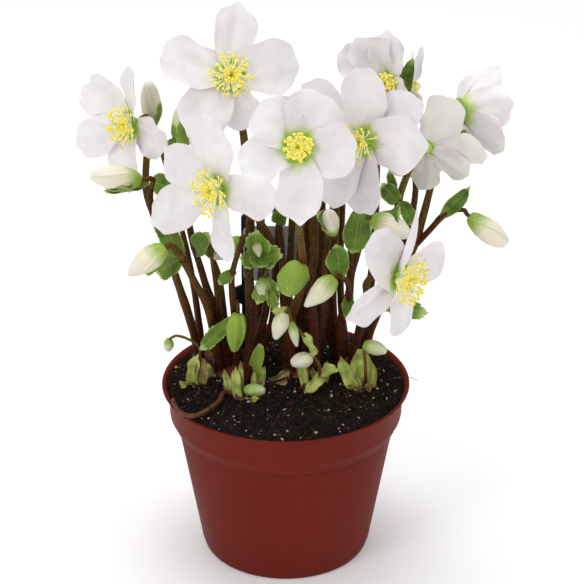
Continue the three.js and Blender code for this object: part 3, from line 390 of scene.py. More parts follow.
def cappedFaces(rings, sides):  # faces of rings of points, closed by one point before and one after them
    faces = [tuple(1 + i for i in face) for face in gridFaces(rings - 1, sides, True)]
    last, top = 1 + (rings - 1) * sides, 1 + rings * sides
    for i in range(sides):
        after = (i + 1) % sides
        faces.append((0, 1 + after, 1 + i))
        faces.append((last + i, last + after, top))
    return faces


def lathePatch(profile, sides, slot=0):  # profile from the axis at the foot round to the axis
    rings = [(radius, z) for radius, z in profile if radius > 0]
    turn = fullTurn(sides)
    points = [(0, 0, profile[0][1])]
    for radius, z in rings:
        points += list(zip(radius * np.cos(turn), radius * np.sin(turn), np.full(sides, z)))
    points.append((0, 0, profile[-1][1]))
    points = np.array(points, float)
    faces = cappedFaces(len(rings), sides)
    return {"points": points, "faces": faces, "grain": np.zeros(points.shape), "slot": slot}


def moved(patch, matrix):
    points = np.column_stack([patch["points"], np.ones(len(patch["points"]))])
    return {**patch, "points": (points @ np.array(matrix).T)[:, :3]}


def axes(right, forward, up, origin):  # the matrix of a place whose own X, Y and Z are these three
    matrix = Matrix((right, forward, up)).transposed().to_4x4()
    matrix.translation = origin
    return matrix


def fromTo(base, tip, width, **details):  # a leaf or a bud between two points
    return {"base": base, "tip": tip, "width": width, **details}


# Blades: tepals, bracts and sheaths
bladeDefaults = {
    "width": 20, "lift": 0, "curl": 0, "cup": 0.2, "roll": 0, "root": 0, "thickness": 0.55,
    "rows": 18, "columns": 14, "widest": 0.6, "claw": 0.2, "round": 0.46, "point": 0.08, "notch": 0.0,
    "teeth": 0.0, "toothCount": 9, "ruffle": 0.6, "crease": 0.25, "tipCurl": 0.0, "tone": 0.0, "seed": 1,
    "wavy": 1.0,
}


def bladeWidth(shape, x):  # share of the full width, from a narrow claw to the tip
    claw = shape["claw"] * (1 - x) ** 1.5
    power = math.log(0.5) / math.log(shape["widest"])
    towardsTip = np.clip((x - shape["widest"]) / (1 - shape["widest"]), 0, 1)
    arch = np.sin(math.pi * np.clip(x, 0, 1) ** power).clip(0, 1)
    body = arch ** (shape["round"] + shape["point"] * towardsTip)
    return body + claw * (1 - body)


def toothed(shape, out, share, x, y):  # small saw teeth along the rim and round the tip
    saw = 1 - np.abs((x * shape["toothCount"]) % 1 - 0.35) * 1.6
    y = y * (1 + shape["teeth"] * saw * np.abs(out) ** 3 * np.clip((x - 0.3) / 0.2, 0, 1))
    saw = 1 - np.abs(((out + 1) * 0.5 * shape["toothCount"] * 0.6) % 1 - 0.5) * 2
    return x + shape["teeth"] * 0.55 * saw * share ** 8, y


def bladeOutline(shape, out, share, phase):  # how far along, 0 to 1, and how far across each point lies
    shoulder = 0.84  # from here every column runs on to its own place on the tip's curve
    tipX = np.linspace(shoulder, 1, 80)
    tipWidth = bladeWidth(shape, tipX) / bladeWidth(shape, shoulder)
    reach = np.interp(np.abs(out), tipWidth[::-1], tipX[::-1])
    reach = reach - shape["notch"] * np.exp(-((out + 0.12 * np.sin(phase[0])) / 0.22) ** 2)
    reach = reach + 0.022 * shape["wavy"] * np.sin(5.5 * out + phase[2]) * (1 - out ** 2)
    x = share * reach
    half = 0.5 * shape["width"] * bladeWidth(shape, np.minimum(x, shoulder))
    wobble = 0.07 * np.sin(5 * x + phase[1]) * np.sign(out + 0.001)
    wobble = 1 + shape["wavy"] * (wobble + 0.045 * np.sin(12 * x + phase[2] + 2 * np.sign(out)))
    y = out * half * (1 + (wobble - 1) * np.abs(out) ** 3)
    return toothed(shape, out, share, x, y) if shape["teeth"] else (x, y)


def bladeRise(shape, out, share, x, y, phase):  # heights over the plain blade
    ruffle = shape["ruffle"]
    rim = np.abs(out) ** 3
    rise = shape["cup"] * np.abs(y) * np.abs(out)
    rise = rise + ruffle * rim * np.sin(2.2 * math.pi * x * 1.6 + phase[3] + 1.4 * np.sign(out))
    rise = rise + 0.35 * ruffle * share ** 4 * np.sin(3.1 * out + phase[4])  # across the tip
    middle = np.sin(math.pi * np.clip(x, 0, 1)) ** 0.7
    rise = rise + 0.22 * ruffle * np.sin(8.0 * out + phase[5] + 1.5 * x) * middle  # fine ribs
    midrib = np.exp(-((y / 1.6) ** 2))
    rise = rise - shape["crease"] * midrib * np.clip(1 - x, 0, 1) * np.clip(x * 5, 0, 1)
    return rise - shape["tipCurl"] * np.clip(x - 0.7, 0, 1) ** 2 * 11


def sheetFaces(rows, columns):  # both sides of a thin sheet, and the edge all round between them
    size = (rows + 1) * (columns + 1)
    faces = gridFaces(rows, columns)
    faces = [face[::-1] for face in faces] + [tuple(size + i for i in face) for face in faces]
    edge = [row * (columns + 1) for row in range(rows + 1)]
    edge += [rows * (columns + 1) + column for column in range(1, columns + 1)]
    edge += [row * (columns + 1) + columns for row in range(rows - 1, -1, -1)]
    edge += list(range(columns - 1, 0, -1))
    for a, b in zip(edge, edge[1:] + edge[:1]):
        faces.append((a, b, size + b, size + a))
    return faces


def bladePatch(shape, matrix, slot=0):
    shape = {**bladeDefaults, **shape}
    phase = np.random.default_rng(shape["seed"]).uniform(0, 2 * math.pi, 6)
    out = np.linspace(-1, 1, shape["columns"] + 1)[None, :]  # from one rim to the other
    share = (np.linspace(0, 1, shape["rows"] + 1) ** 0.92)[:, None]  # of the way to the tip
    x, y = bladeOutline(shape, out, share, phase)
    rise = bladeRise(shape, out, share, x, y, phase)
    bend = math.radians(shape["curl"] or 0.01)
    start, roll = math.radians(shape["lift"]), math.radians(shape["roll"])
    angle = start + bend * x
    along = shape["root"] + shape["length"] * (np.sin(angle) - math.sin(start)) / bend
    height = shape["length"] * (math.cos(start) - np.cos(angle)) / bend
    points = []
    for side in (1, -1):
        thinned = (1 - 0.55 * np.abs(out) ** 3) * (1 - 0.35 * share ** 4)  # towards the rim and the tip
        thick = rise + side * 0.5 * shape["thickness"] * thinned
        across = y * math.cos(roll) - thick * math.sin(roll)
        up = y * math.sin(roll) + thick * math.cos(roll)
        flat = np.stack([along - up * np.sin(angle), across, height + up * np.cos(angle)], axis=-1)
        points.append(flat.reshape(-1, 3))
    tone = np.full(x.shape, shape["tone"])
    grains = np.stack([np.broadcast_to(out, x.shape), x, tone], axis=-1).reshape(-1, 3)
    faces = sheetFaces(shape["rows"], shape["columns"])
    patch = {"points": np.concatenate(points), "faces": faces, "grain": np.tile(grains, (2, 1)), "slot": slot}
    return moved(patch, matrix)


def leafPatch(leaf, slot=0):  # a blade from "base" to "tip", its inner face turned towards "face"
    base, tip = Vector(leaf["base"]), Vector(leaf["tip"])
    along = tip - base
    length = along.length * 1.03  # a little over, as a bent leaf reaches less far
    along.normalize()
    across = Vector(leaf.get("face", (0, -1, 0.2))).cross(along).normalized()
    bend = leaf.get("bend", -30)
    shape = {"teeth": 0.11, "point": 0.1, "claw": 0.3, "widest": 0.56, "cup": 0.3, "thickness": 0.6, **leaf}
    shape.update(length=length, lift=-bend / 2, curl=bend, seed=leaf.get("seed", int(sum(map(abs, base)))))
    return bladePatch(shape, axes(along, across, along.cross(across), base), slot)


budRings = {  # radius at shares of the length, of a pointed and of a rounded bud
    "shares": (0, 0.04, 0.12, 0.34, 0.6, 0.84, 0.95, 1),
    "pointed": (0.22, 0.5, 0.76, 1, 0.86, 0.44, 0.2, 0.05),
    "rounded": (0.2, 0.44, 0.68, 0.94, 1, 0.74, 0.48, 0.14),
}
budDefaults = {
    "rows": 22, "sides": 42, "laps": 3, "lap": 0.13, "twist": 0.9, "blunt": 0.2, "phase": 0.1, "folds": 0.0,
    "tone": 0.0,
}


def budRadius(shape, share):  # smoothed a little from ring to ring
    pointed = np.interp(share, budRings["shares"], budRings["pointed"])
    rounded = np.interp(share, budRings["shares"], budRings["rounded"])
    radius = 0.5 * shape["width"] * (pointed * (1 - shape["blunt"]) + rounded * shape["blunt"])
    return np.convolve(np.pad(radius, 1, mode="edge"), (0.25, 0.5, 0.25), mode="valid")


def budPatch(bud, slot=0):  # tepals wound over each other round a short axis
    shape = {**budDefaults, **bud}
    base, tip = Vector(shape["base"]), Vector(shape["tip"])
    along = tip - base
    length = along.length
    along.normalize()
    helper = Vector((0, 1, 0)) if abs(along.z) > 0.9 else Vector((0, 0, 1))
    right = helper.cross(along).normalized()
    share = np.linspace(0, 1, shape["rows"] + 1)[1:-1, None]
    turn = fullTurn(shape["sides"])[None, :]
    lap = ((turn + shape["twist"] * share) * shape["laps"] / (2 * math.pi) + shape["phase"]) % 1
    step = np.where(lap < 0.82, lap / 0.82, (1 - lap) / 0.18)  # each tepal rises slowly and ends steeply
    ring = budRadius(shape, share[:, 0])[:, None] * (1 + shape["lap"] * (step - 0.5))
    waves = np.sin(6 * turn + 7 * share) * np.sin(11 * share + 2 * turn)
    ring = ring * (1 + shape["folds"] * waves)
    z = np.broadcast_to(share * length, ring.shape)
    walls = np.stack([ring * np.cos(turn), ring * np.sin(turn), z], axis=-1).reshape(-1, 3)
    points = np.concatenate([[(0, 0, 0)], walls, [(0, 0, length)]])
    across = np.concatenate([[0], (2 * lap - 1).ravel(), [0]])
    grains = np.column_stack([across, points[:, 2] / length, np.full(len(points), shape["tone"])])
    faces = cappedFaces(shape["rows"] - 1, shape["sides"])
    patch = {"points": points, "faces": faces, "grain": grains, "slot": slot}
    return moved(patch, axes(right, along.cross(right), along, base))


# Stems: a line of points with a thickness, made round by Geometry Nodes
def smoothPath(points, step=2.5):  # the even curve through the points
    points = np.array(points, float)
    ends = np.vstack([2 * points[0] - points[1], points, 2 * points[-1] - points[-2]])
    path = []
    for before, here, after, beyond in zip(ends, ends[1:], ends[2:], ends[3:]):
        count = max(2, int(np.linalg.norm(after - here) / step))
        t = np.linspace(0, 1, count, endpoint=False)[:, None]
        leave, arrive = 0.5 * (after - before), 0.5 * (beyond - here)
        curve = here + leave * t + (3 * (after - here) - 2 * leave - arrive) * t ** 2
        path.append(curve + (2 * (here - after) + leave + arrive) * t ** 3)
    return np.vstack(path + [points[-1:]])


stemShape = {
    "swell": ((0.05, 0.35), (0.03, 0.83)),  # how much thicker and thinner, and how often
    "redUp": 6, "redReach": 8, "redMost": 0.6,  # the red that stems have above a whorl
}


def reddened(path, redSpots):  # how red each point of a stem is
    redness = np.zeros(len(path))
    for spot in redSpots:
        away = np.linalg.norm(path - (np.array(spot) + (0, 0, stemShape["redUp"])), axis=1)
        redness = np.maximum(redness, np.clip(1.2 - away / stemShape["redReach"], 0, stemShape["redMost"]))
    return redness


def lineObject(name, lines, redSpots):  # lines: (points, diameter at the foot, diameter at the end, tone)
    points, edges, thick, grains = [], [], [], []
    (slow, slowRate), (quick, quickRate) = stemShape["swell"]
    for path, foot, end, tone in lines:
        path = smoothPath(path)
        share = np.linspace(0, 1, len(path))
        edges += [(len(points) + i, len(points) + i + 1) for i in range(len(path) - 1)]
        swell = 1 + slow * np.sin(share * len(path) * slowRate + foot)
        swell = swell + quick * np.sin(share * len(path) * quickRate)
        thick += list(0.5 * mm * (foot + (end - foot) * share) * swell)
        grains += [(red, value, tone) for red, value in zip(reddened(path, redSpots), share)]
        points += list(path * mm)
    mesh = bpy.data.meshes.new(name)
    mesh.from_pydata(points, edges, [])
    mesh.attributes.new("thick", "FLOAT", "POINT").data.foreach_set("value", thick)
    mesh.attributes.new("grain", "FLOAT_VECTOR", "POINT").data.foreach_set("vector", np.ravel(grains))
    return newObject(name, mesh)


def newTree(name, inputs):  # inputs: [(name, kind)]; a tree that takes and gives geometry
    tree = bpy.data.node_groups.new(name, "GeometryNodeTree")
    tree.interface.new_socket("Geometry", in_out="INPUT", socket_type="NodeSocketGeometry")
    for title, kind in inputs:
        tree.interface.new_socket(title, in_out="INPUT", socket_type="NodeSocket" + kind)
    tree.interface.new_socket("Geometry", in_out="OUTPUT", socket_type="NodeSocketGeometry")
    return tree, tree.nodes.new("NodeGroupInput").outputs


def closeTree(tree, geometry):
    wire(tree, "NodeGroupOutput", {0: geometry})
    return tree


def painted(tree, geometry, material):
    return made(tree, "GeometryNodeSetMaterial", {"Geometry": geometry, "Material": material})


def solid(tree, geometry):  # copies as plain faces
    return made(tree, "GeometryNodeRealizeInstances", {"Geometry": geometry})


def smooth(tree, geometry):
    return made(tree, "GeometryNodeSetShadeSmooth", {"Geometry": geometry})


def grown(name, tree, carrier, values):  # runs a tree on an object and keeps the plain mesh
    modifier = carrier.modifiers.new(tree.name, "NODES")
    modifier.node_group = tree
    sockets = {item.name: item.identifier for item in tree.interface.items_tree if item.in_out == "INPUT"}
    for title, value in values.items():
        modifier[sockets[title]] = value
    mesh = bpy.data.meshes.new_from_object(carrier.evaluated_get(bpy.context.evaluated_depsgraph_get()))
    mesh.name = name
    bpy.data.objects.remove(carrier)
    return mesh


def makeStemTree():
    tree, given = newTree("roundStems", [("Sides", "Int"), ("Finish", "Material")])
    curve = made(tree, "GeometryNodeMeshToCurve", {"Mesh": given["Geometry"]})
    ring = made(tree, "GeometryNodeCurvePrimitiveCircle", {"Resolution": given["Sides"], "Radius": 1.0})
    thick = made(tree, "GeometryNodeInputNamedAttribute", {"Name": "thick"}, data_type="FLOAT")
    sweep = {"Curve": curve, "Profile Curve": ring, "Scale": thick, "Fill Caps": True}
    stems = smooth(tree, solid(tree, made(tree, "GeometryNodeCurveToMesh", sweep)))
    return closeTree(tree, painted(tree, stems, given["Finish"]))


stemTree = makeStemTree()


def stemMesh(name, lines, finish, sides=12, redSpots=()):
    values = {"Sides": sides, "Finish": finishes[finish]}
    return grown(name, stemTree, lineObject(name + "Lines", lines, redSpots), values)


def joined(name, meshes):  # several meshes as one, each with its own finishes
    carriers = [newObject(name, mesh) for mesh in meshes]
    with bpy.context.temp_override(active_object=carriers[0], selected_editable_objects=carriers):
        bpy.ops.object.join()
    mesh = carriers[0].data
    bpy.data.objects.remove(carriers[0])
    mesh.name = name
    return mesh


# Helpers for the trees that set many small things out
def draw(tree, low, high, seed):  # a random number on each point
    return wire(tree, "FunctionNodeRandomValue", {2: low, 3: high, 8: seed}, data_type="FLOAT").outputs[1]


def drawThree(tree, low, high, seed):
    return made(tree, "FunctionNodeRandomValue", {0: low, 1: high, 8: seed}, data_type="FLOAT_VECTOR")


def triple(tree, x, y, z):
    return made(tree, "ShaderNodeCombineXYZ", {0: x, 1: y, 2: z})


def turned(tree, angles):
    return made(tree, "FunctionNodeEulerToRotation", {0: angles})


def onRing(tree, reach, turn):
    x = sums(tree, "MULTIPLY", reach, sums(tree, "COSINE", turn))
    return triple(tree, x, sums(tree, "MULTIPLY", reach, sums(tree, "SINE", turn)), 0.0)


def spiralPoints(tree, count, ring, seed):  # evenly spread points with a share from the middle and a turn
    index = made(tree, "GeometryNodeInputIndex")
    share = sums(tree, "SQRT", sums(tree, "DIVIDE", sums(tree, "ADD", index, 0.5), count))
    turn = sums(tree, "ADD", sums(tree, "MULTIPLY", index, goldenAngle), draw(tree, -0.35, 0.35, seed))
    reach = sums(tree, "MULTIPLY", ring, sums(tree, "MULTIPLY_ADD", share, 0.8, 0.2))
    points = made(tree, "GeometryNodePoints", {"Count": count, "Position": onRing(tree, reach, turn)})
    return points, share, turn


def cone(tree, sides, segments, top, foot, length):
    return made(tree, "GeometryNodeMeshCone", {
        "Vertices": sides, "Side Segments": segments, "Radius Top": top, "Radius Bottom": foot,
        "Depth": length,
    })


def shifted(tree, geometry, offset):
    return made(tree, "GeometryNodeSetPosition", {"Geometry": geometry, "Offset": offset})


def arched(tree, geometry, length, push):  # bent sideways, most at its far end
    z = wire(tree, "ShaderNodeSeparateXYZ", {0: made(tree, "GeometryNodeInputPosition")}).outputs[2]
    share = sums(tree, "POWER", sums(tree, "DIVIDE", z, length), 2.0)
    return shifted(tree, geometry, triple(tree, sums(tree, "MULTIPLY", share, push), 0.0, 0.0))


def copies(tree, points, shape, rotation, scale):  # a shape on each point, as plain faces
    settings = {"Points": points, "Instance": shape, "Rotation": rotation, "Scale": scale}
    return solid(tree, made(tree, "GeometryNodeInstanceOnPoints", settings))


# What fills the middle of a bloom
stamenShape = {  # in metres
    "threadTop": 0.00028, "threadFoot": 0.0004, "arch": 0.0012, "sac": 0.00125, "sacSize": (0.6, 0.95, 0.9),
}


def makeStamenTree(look):
    tree, given = newTree("stamens", [
        ("Count", "Int"), ("Length", "Float"), ("Splay", "Float"), ("Ring", "Float"), ("Seed", "Int"),
        ("Fill", "Float"), ("Filament", "Material"), ("Anther", "Material"),
    ])
    length, seed = given["Length"], given["Seed"]
    points, share, turn = spiralPoints(tree, given["Count"], given["Ring"], seed)
    lean = sums(tree, "MULTIPLY", given["Splay"], sums(tree, "POWER", share, given["Fill"]))
    lean = sums(tree, "MULTIPLY", lean, draw(tree, 0.75, 1.15, seed))
    rotation = turned(tree, triple(tree, 0.0, lean, turn))
    longer = sums(tree, "MULTIPLY_ADD", share, 0.16, 0.86)
    stretch = triple(tree, 1.0, 1.0, sums(tree, "MULTIPLY", longer, draw(tree, 0.8, 1.08, seed)))
    thread = cone(tree, 4, 4, look["threadTop"], look["threadFoot"], length)
    thread = arched(tree, thread, length, look["arch"])
    sac = made(tree, "GeometryNodeMeshIcoSphere", {"Radius": look["sac"], "Subdivisions": 1})
    atTop = {"Translation": triple(tree, look["arch"], 0.0, length), "Scale": look["sacSize"]}
    sac = made(tree, "GeometryNodeTransform", {"Geometry": sac, **atTop})
    both = wire(tree, "GeometryNodeJoinGeometry")
    for shape, finish in ((thread, "Filament"), (sac, "Anther")):
        many = smooth(tree, copies(tree, points, shape, rotation, stretch))
        tree.links.new(painted(tree, many, given[finish]), both.inputs[0])
    return closeTree(tree, both.outputs[0])


nectaryShape = {  # in metres
    "hornTop": 0.00115, "hornFoot": 0.0005, "arch": -0.0009, "size": (0.72, 1.0, 1.0),
}


def makeNectaryTree(look):
    tree, given = newTree("nectaries", [
        ("Count", "Int"), ("Length", "Float"), ("Lean", "Float"), ("Ring", "Float"), ("Seed", "Int"),
        ("Finish", "Material"),
    ])
    seed = given["Seed"]
    index = sums(tree, "ADD", made(tree, "GeometryNodeInputIndex"), draw(tree, -0.2, 0.2, seed))
    turn = sums(tree, "MULTIPLY", sums(tree, "DIVIDE", index, given["Count"]), 2 * math.pi)
    spot = onRing(tree, given["Ring"], turn)
    points = made(tree, "GeometryNodePoints", {"Count": given["Count"], "Position": spot})
    lean = sums(tree, "MULTIPLY", given["Lean"], draw(tree, 0.85, 1.15, seed))
    rotation = turned(tree, triple(tree, 0.0, lean, turn))
    horn = cone(tree, 8, 4, look["hornTop"], look["hornFoot"], given["Length"])
    horn = arched(tree, horn, given["Length"], look["arch"])
    horns = smooth(tree, copies(tree, points, horn, rotation, look["size"]))
    return closeTree(tree, painted(tree, horns, given["Finish"]))


stamenTree = makeStamenTree(stamenShape)
nectaryTree = makeNectaryTree(nectaryShape)


def pointMesh(name):  # an empty carrier for a tree that makes its own points
    return newObject(name, bpy.data.meshes.new(name))


def facing(centre, azimuth, elevation):  # azimuth 0 looks at -Y and grows towards +X
    turn, tilt = math.radians(azimuth), math.radians(elevation)
    axis = Vector((math.sin(turn) * math.cos(tilt), -math.cos(turn) * math.cos(tilt), math.sin(tilt)))
    right = Vector((math.cos(turn), math.sin(turn), 0))
    return axes(right, axis.cross(right), axis, centre)


def inMetres(matrix):
    matrix = matrix.copy()
    matrix.translation *= mm
    return matrix


# Open blooms. tepals: [turn, length, width, lift, curl, cup, its own details]; boss: [stamen length, splay]
blooms = [
    {
        "centre": [-32.6, 5, 306.8], "azimuth": 22, "elevation": 28, "boss": [12, 50], "fill": 0.3,
        "tepals": [
            [5, 37, 32, 10, -14, 0.12, {"round": 0.38, "point": 0.06}],
            [72, 37, 27, 8, -10, 0.14, {"point": 0.16, "claw": 0.5}],
            [154, 37, 28, 6, -10, 0.15, {"round": 0.36, "notch": 0.06, "point": 0.0}],
            [225, 37, 31, 6, -14, 0.12, {"ruffle": 1.6, "point": 0.35}],
            [278, 27, 24, 2, -14, 0.2, {"point": 0.4}],
        ],
    },
    {
        "centre": [-91, 31, 266], "azimuth": -42, "elevation": 8, "boss": [13, 42],
        "tepals": [
            [348, 23, 26, 2, -14, 0.2, {"ruffle": 1.8, "round": 0.38}],
            [78, 35, 22, 22, -10, 0.2, {"roll": -22}],
            [153, 34, 28, 14, -10, 0.2, {"notch": 0.05, "round": 0.38}],
            [209, 37, 25, 16, -10, 0.2, {"ruffle": 1.6}],
            [272, 37, 26, 10, -15, 0.2, {"point": 0.4}],
        ],
    },
    {
        "centre": [-38, -25, 250], "azimuth": -42, "elevation": 5, "boss": [15, 48], "fill": 0.4,
        "tepals": [
            [7, 34, 27, -6, -12, 0.2, {"round": 0.4}],
            [90, 42, 28, 16, -10, 0.2, {"ruffle": 1.5}],
            [158, 35, 26, 16, -10, 0.2, {"round": 0.34, "point": 0.3}],
            [215, 46, 28, 18, -10, 0.2, {"ruffle": 1.8, "tipCurl": -1.0}],
            [285, 38, 20, 6, -10, 0.2, {"notch": 0.04}],
        ],
    },
    {
        "centre": [7, -62, 292], "azimuth": 0, "elevation": 22, "boss": [9, 29], "fertile": 1.3,
        "tone": -0.8,
        "tepals": [
            [352, 27, 31, 8, -12, 0.15, {"round": 0.36, "ruffle": 1.3}],
            [68, 27, 31, 10, -10, 0.15, {"round": 0.34, "ruffle": 1.5}],
            [129, 26, 30, 10, -10, 0.15, {"round": 0.38, "ruffle": 1.2}],
            [198, 29, 27, 8, -12, 0.15, {"ruffle": 1.3}],
            [272, 37, 27, 4, -14, 0.15, {"point": 0.35, "tipCurl": -2.0}],
        ],
    },
    {
        "centre": [45, -22, 279], "azimuth": -35, "elevation": 8, "boss": [13, 45], "fertile": 0.4,
        "tepals": [
            [11, 36, 35, 4, -10, 0.15, {"point": 0.25, "widest": 0.55}],
            [90, 39, 29, 14, -10, 0.15, {"point": 0.1}],
            [149, 42, 28, 12, -10, 0.15, {"round": 0.38}],
            [247, 41, 24, 12, -10, 0.15],
            [278, 38, 27, 8, -10, 0.15, {"round": 0.4}],
            [44, 38, 26, -2, -8, 0.15, {"round": 0.4}],
        ],
    },
    {
        "centre": [59, 22, 296], "azimuth": -20, "elevation": 15, "boss": [9, 28], "fertile": 0.7,
        "tepals": [
            [150, 28, 22, 14, -10, 0.3, {"ruffle": 1.2, "point": 0.2, "wavy": 1.6}],
            [126, 26, 26, 25, -10, 0.3, {"ruffle": 1.7, "point": 0.1, "wavy": 1.8}],
            [92, 25, 22, 16, -10, 0.25, {"ruffle": 1.3, "point": 0.2, "wavy": 1.6}],
            [344, 18, 16, 48, -10, 0.3],
            [229, 23, 20, 50, -10, 0.3, {"point": 0.6}],
        ],
    },
    {
        "centre": [68, 45, 281], "azimuth": 95, "elevation": 8, "boss": [12, 36],
        "tepals": [
            [195, 21, 20, 35, -20, 0.25], [258, 26, 18, 35, -20, 0.25], [322, 26, 20, 35, -20, 0.25],
            [25, 26, 20, 35, -20, 0.25], [86, 25, 18, 46, -20, 0.25],
        ],
    },
    {
        "centre": [82, 5, 263], "azimuth": 155, "elevation": 0, "boss": [11, 40], "base": 0.7, "hubSlot": 0,
        "tone": 0.32,
        "tepals": [
            [114, 28, 25, 20, -16, 0.2, {"round": 0.36}],
            [186, 30, 19, 20, -16, 0.45],
            [215, 24, 20, 18, -16, 0.2, {"ruffle": 1.8}],
            [281, 27, 22, 22, -16, 0.2],
            [322, 30, 24, 20, -16, 0.2, {"ruffle": 1.6}],
        ],
    },
    {
        "centre": [103, 40, 271], "azimuth": 118, "elevation": -10, "boss": [11, 30], "base": 1.5,
        "tone": -1.0,
        "tepals": [
            [88, 30, 19, 46, -10, 0.35, {"round": 0.4, "point": 0.0}],
            [150, 28, 26, 54, -18, 0.25, {"ruffle": 1.4, "point": 0.3}],
            [215, 30, 30, 44, -20, 0.2, {"ruffle": 1.6}],
            [296, 30, 24, 42, -20, 0.25],
            [12, 30, 24, 42, -20, 0.25],
        ],
    },
    {
        "centre": [63.4, -58, 210], "azimuth": 50, "elevation": 0, "boss": [16, 42], "fertile": 1.3,
        "tepals": [
            [128, 34, 31, 6, -20, 0.2, {"round": 0.32, "wavy": 0.6, "widest": 0.54, "claw": 0.5}],
            [94, 47, 15, 24, -10, 0.2, {"roll": 44, "ruffle": 0.3, "point": 0.5}],
            [18, 28, 29, 28, -14, 0.2, {"ruffle": 0.3, "wavy": 0.0, "round": 0.38}],
            [191, 41, 21, 10, -20, 0.3, {"point": 0.4, "crease": 1.6}],
            [272, 33, 19, 10, -20, 0.2, {"ruffle": 0.5, "wavy": 0.3}],
        ],
    },
]


bloomParts = {
    "countedFrom": 5.6,  # the lengths in the table start this far from the middle
    "tepalRoot": 3.2, "tepalRoll": 7, "claw": 0.44, "rows": 26, "columns": 22, "ruffle": 0.9,
    "stamens": 62, "stamenRing": 2.5, "stamenLift": 1.3, "ripeSplay": 1.1, "sacRoom": 1.2,
    "young": 70, "youngLength": 0.6, "youngSplay": 0.42, "youngFill": 0.8,
    "carpels": 5, "carpelWidth": 2.4, "carpelFoot": 0.9, "carpelTop": 1.9, "carpelLength": 0.62,
    "nectaries": 11, "nectaryLength": 6.2, "nectaryRing": 3.9, "nectaryLift": 0.7,
    "hub": [(0, -4), (2.0, -4), (2.6, -3.3), (4.4, -1.9), (5.2, -0.9), (4.6, -0.2), (0, 0.1)],
    "cushion": [(0, -0.2), (3.9, -0.2), (4.3, 0.4), (3.6, 1.0), (0, 1.4)],
}


def tepalMesh(name, number, bloom, parts, matrix):
    patches = []
    for i, (turn, length, width, lift, curl, cup, *detail) in enumerate(bloom["tepals"]):
        shape = {
            "length": length + parts["countedFrom"] - parts["tepalRoot"], "width": width, "lift": lift,
            "curl": curl, "cup": cup, "root": parts["tepalRoot"], "roll": parts["tepalRoll"],
            "claw": parts["claw"], "rows": parts["rows"], "columns": parts["columns"],
            "ruffle": parts["ruffle"], "tone": bloom.get("tone", 0.0), "seed": 17 * number + i,
            **(detail[0] if detail else {}),
        }
        patches.append(bladePatch(shape, matrix @ Matrix.Rotation(math.radians(turn), 4, "Z")))
    profile = [(radius * bloom.get("base", 1), z) for radius, z in parts["hub"]]
    hub = lathePatch(profile, 20, bloom.get("hubSlot", 1))
    return buildMesh(name, patches + [moved(hub, matrix)], ["tepal", "hub"])


def carpelPatches(length, parts, matrix):
    patches = []
    for i in range(parts["carpels"]):
        turn = i * 2 * math.pi / parts["carpels"] + 0.3
        foot, top = parts["carpelFoot"], parts["carpelTop"]
        base = Vector((foot * math.cos(turn), foot * math.sin(turn), 1.0))
        tip = Vector((top * math.cos(turn), top * math.sin(turn), parts["carpelLength"] * length))
        carpel = fromTo(base, tip, parts["carpelWidth"], rows=9, sides=8, lap=0.0)
        patches.append(moved(budPatch(carpel), matrix))
    return patches


def onBloom(mesh, matrix, lift):  # set forward of the bloom's middle and turned as the bloom is
    mesh.transform(Matrix.Translation((0, 0, lift * mm)))
    mesh.transform(inMetres(matrix))
    return mesh


def bossMesh(name, number, bloom, parts, matrix, share):
    length, splay = bloom["boss"]
    ripe = (1.0, splay * parts["ripeSplay"], int(parts["stamens"] * share), bloom.get("fill", 0.6))
    youngCount = int(parts["young"] * share)  # they are short and crowd round the carpels
    young = (parts["youngLength"], splay * parts["youngSplay"], youngCount, parts["youngFill"])
    meshes = []
    for size, lean, count, fill in (ripe, young):
        stamens = grown(name + "Stamens", stamenTree, pointMesh(name + "Points"), {
            "Count": count, "Length": (length - parts["sacRoom"]) * size * mm, "Splay": math.radians(lean),
            "Fill": fill, "Ring": parts["stamenRing"] * size * mm, "Seed": number + count,
            "Filament": finishes["filament"], "Anther": finishes["anther"],
        })
        meshes.append(onBloom(stamens, matrix, parts["stamenLift"]))
    meshes.append(buildMesh(name + "Carpels", carpelPatches(length, parts, matrix), ["carpel"]))
    return joined(name + "Boss", meshes)


def nectaryMesh(name, number, bloom, parts, matrix, share):
    steepest = max(tepal[3] for tepal in bloom["tepals"])
    nectaries = grown(name + "Horns", nectaryTree, pointMesh(name + "Ring"), {
        "Count": int(parts["nectaries"] * min(1, share)), "Length": parts["nectaryLength"] * mm,
        "Lean": math.radians(max(20, 70 - 0.9 * steepest)), "Ring": parts["nectaryRing"] * mm,
        "Seed": 40 + number, "Finish": finishes["nectary"],
    })
    cushion = buildMesh(name + "Cushion", [moved(lathePatch(parts["cushion"], 18), matrix)], ["nectary"])
    return joined(name + "Nectaries", [cushion, onBloom(nectaries, matrix, parts["nectaryLift"])])


def makeBloom(number, bloom, parts):
    name, node = f"bloom{number}", f"bloom_{number}_"
    matrix = facing(bloom["centre"], bloom["azimuth"], bloom["elevation"])
    share = bloom.get("fertile", 1.0)
    tepals = tepalMesh(name + "Tepals", number, bloom, parts, matrix)
    addPiece(name + "Tepals", tepals, "tepal", node + "tepals")
    boss = bossMesh(name, number, bloom, parts, matrix, share)
    addPiece(name + "Boss", boss, "stamen", node + "stamens")
    nectaries = nectaryMesh(name, number, bloom, parts, matrix, share)
    addPiece(name + "Nectaries", nectaries, "nectary", node + "nectaries")


for number, bloom in enumerate(blooms, 1):
    makeBloom(number, bloom, bloomParts)
print("blooms open:", len(blooms))


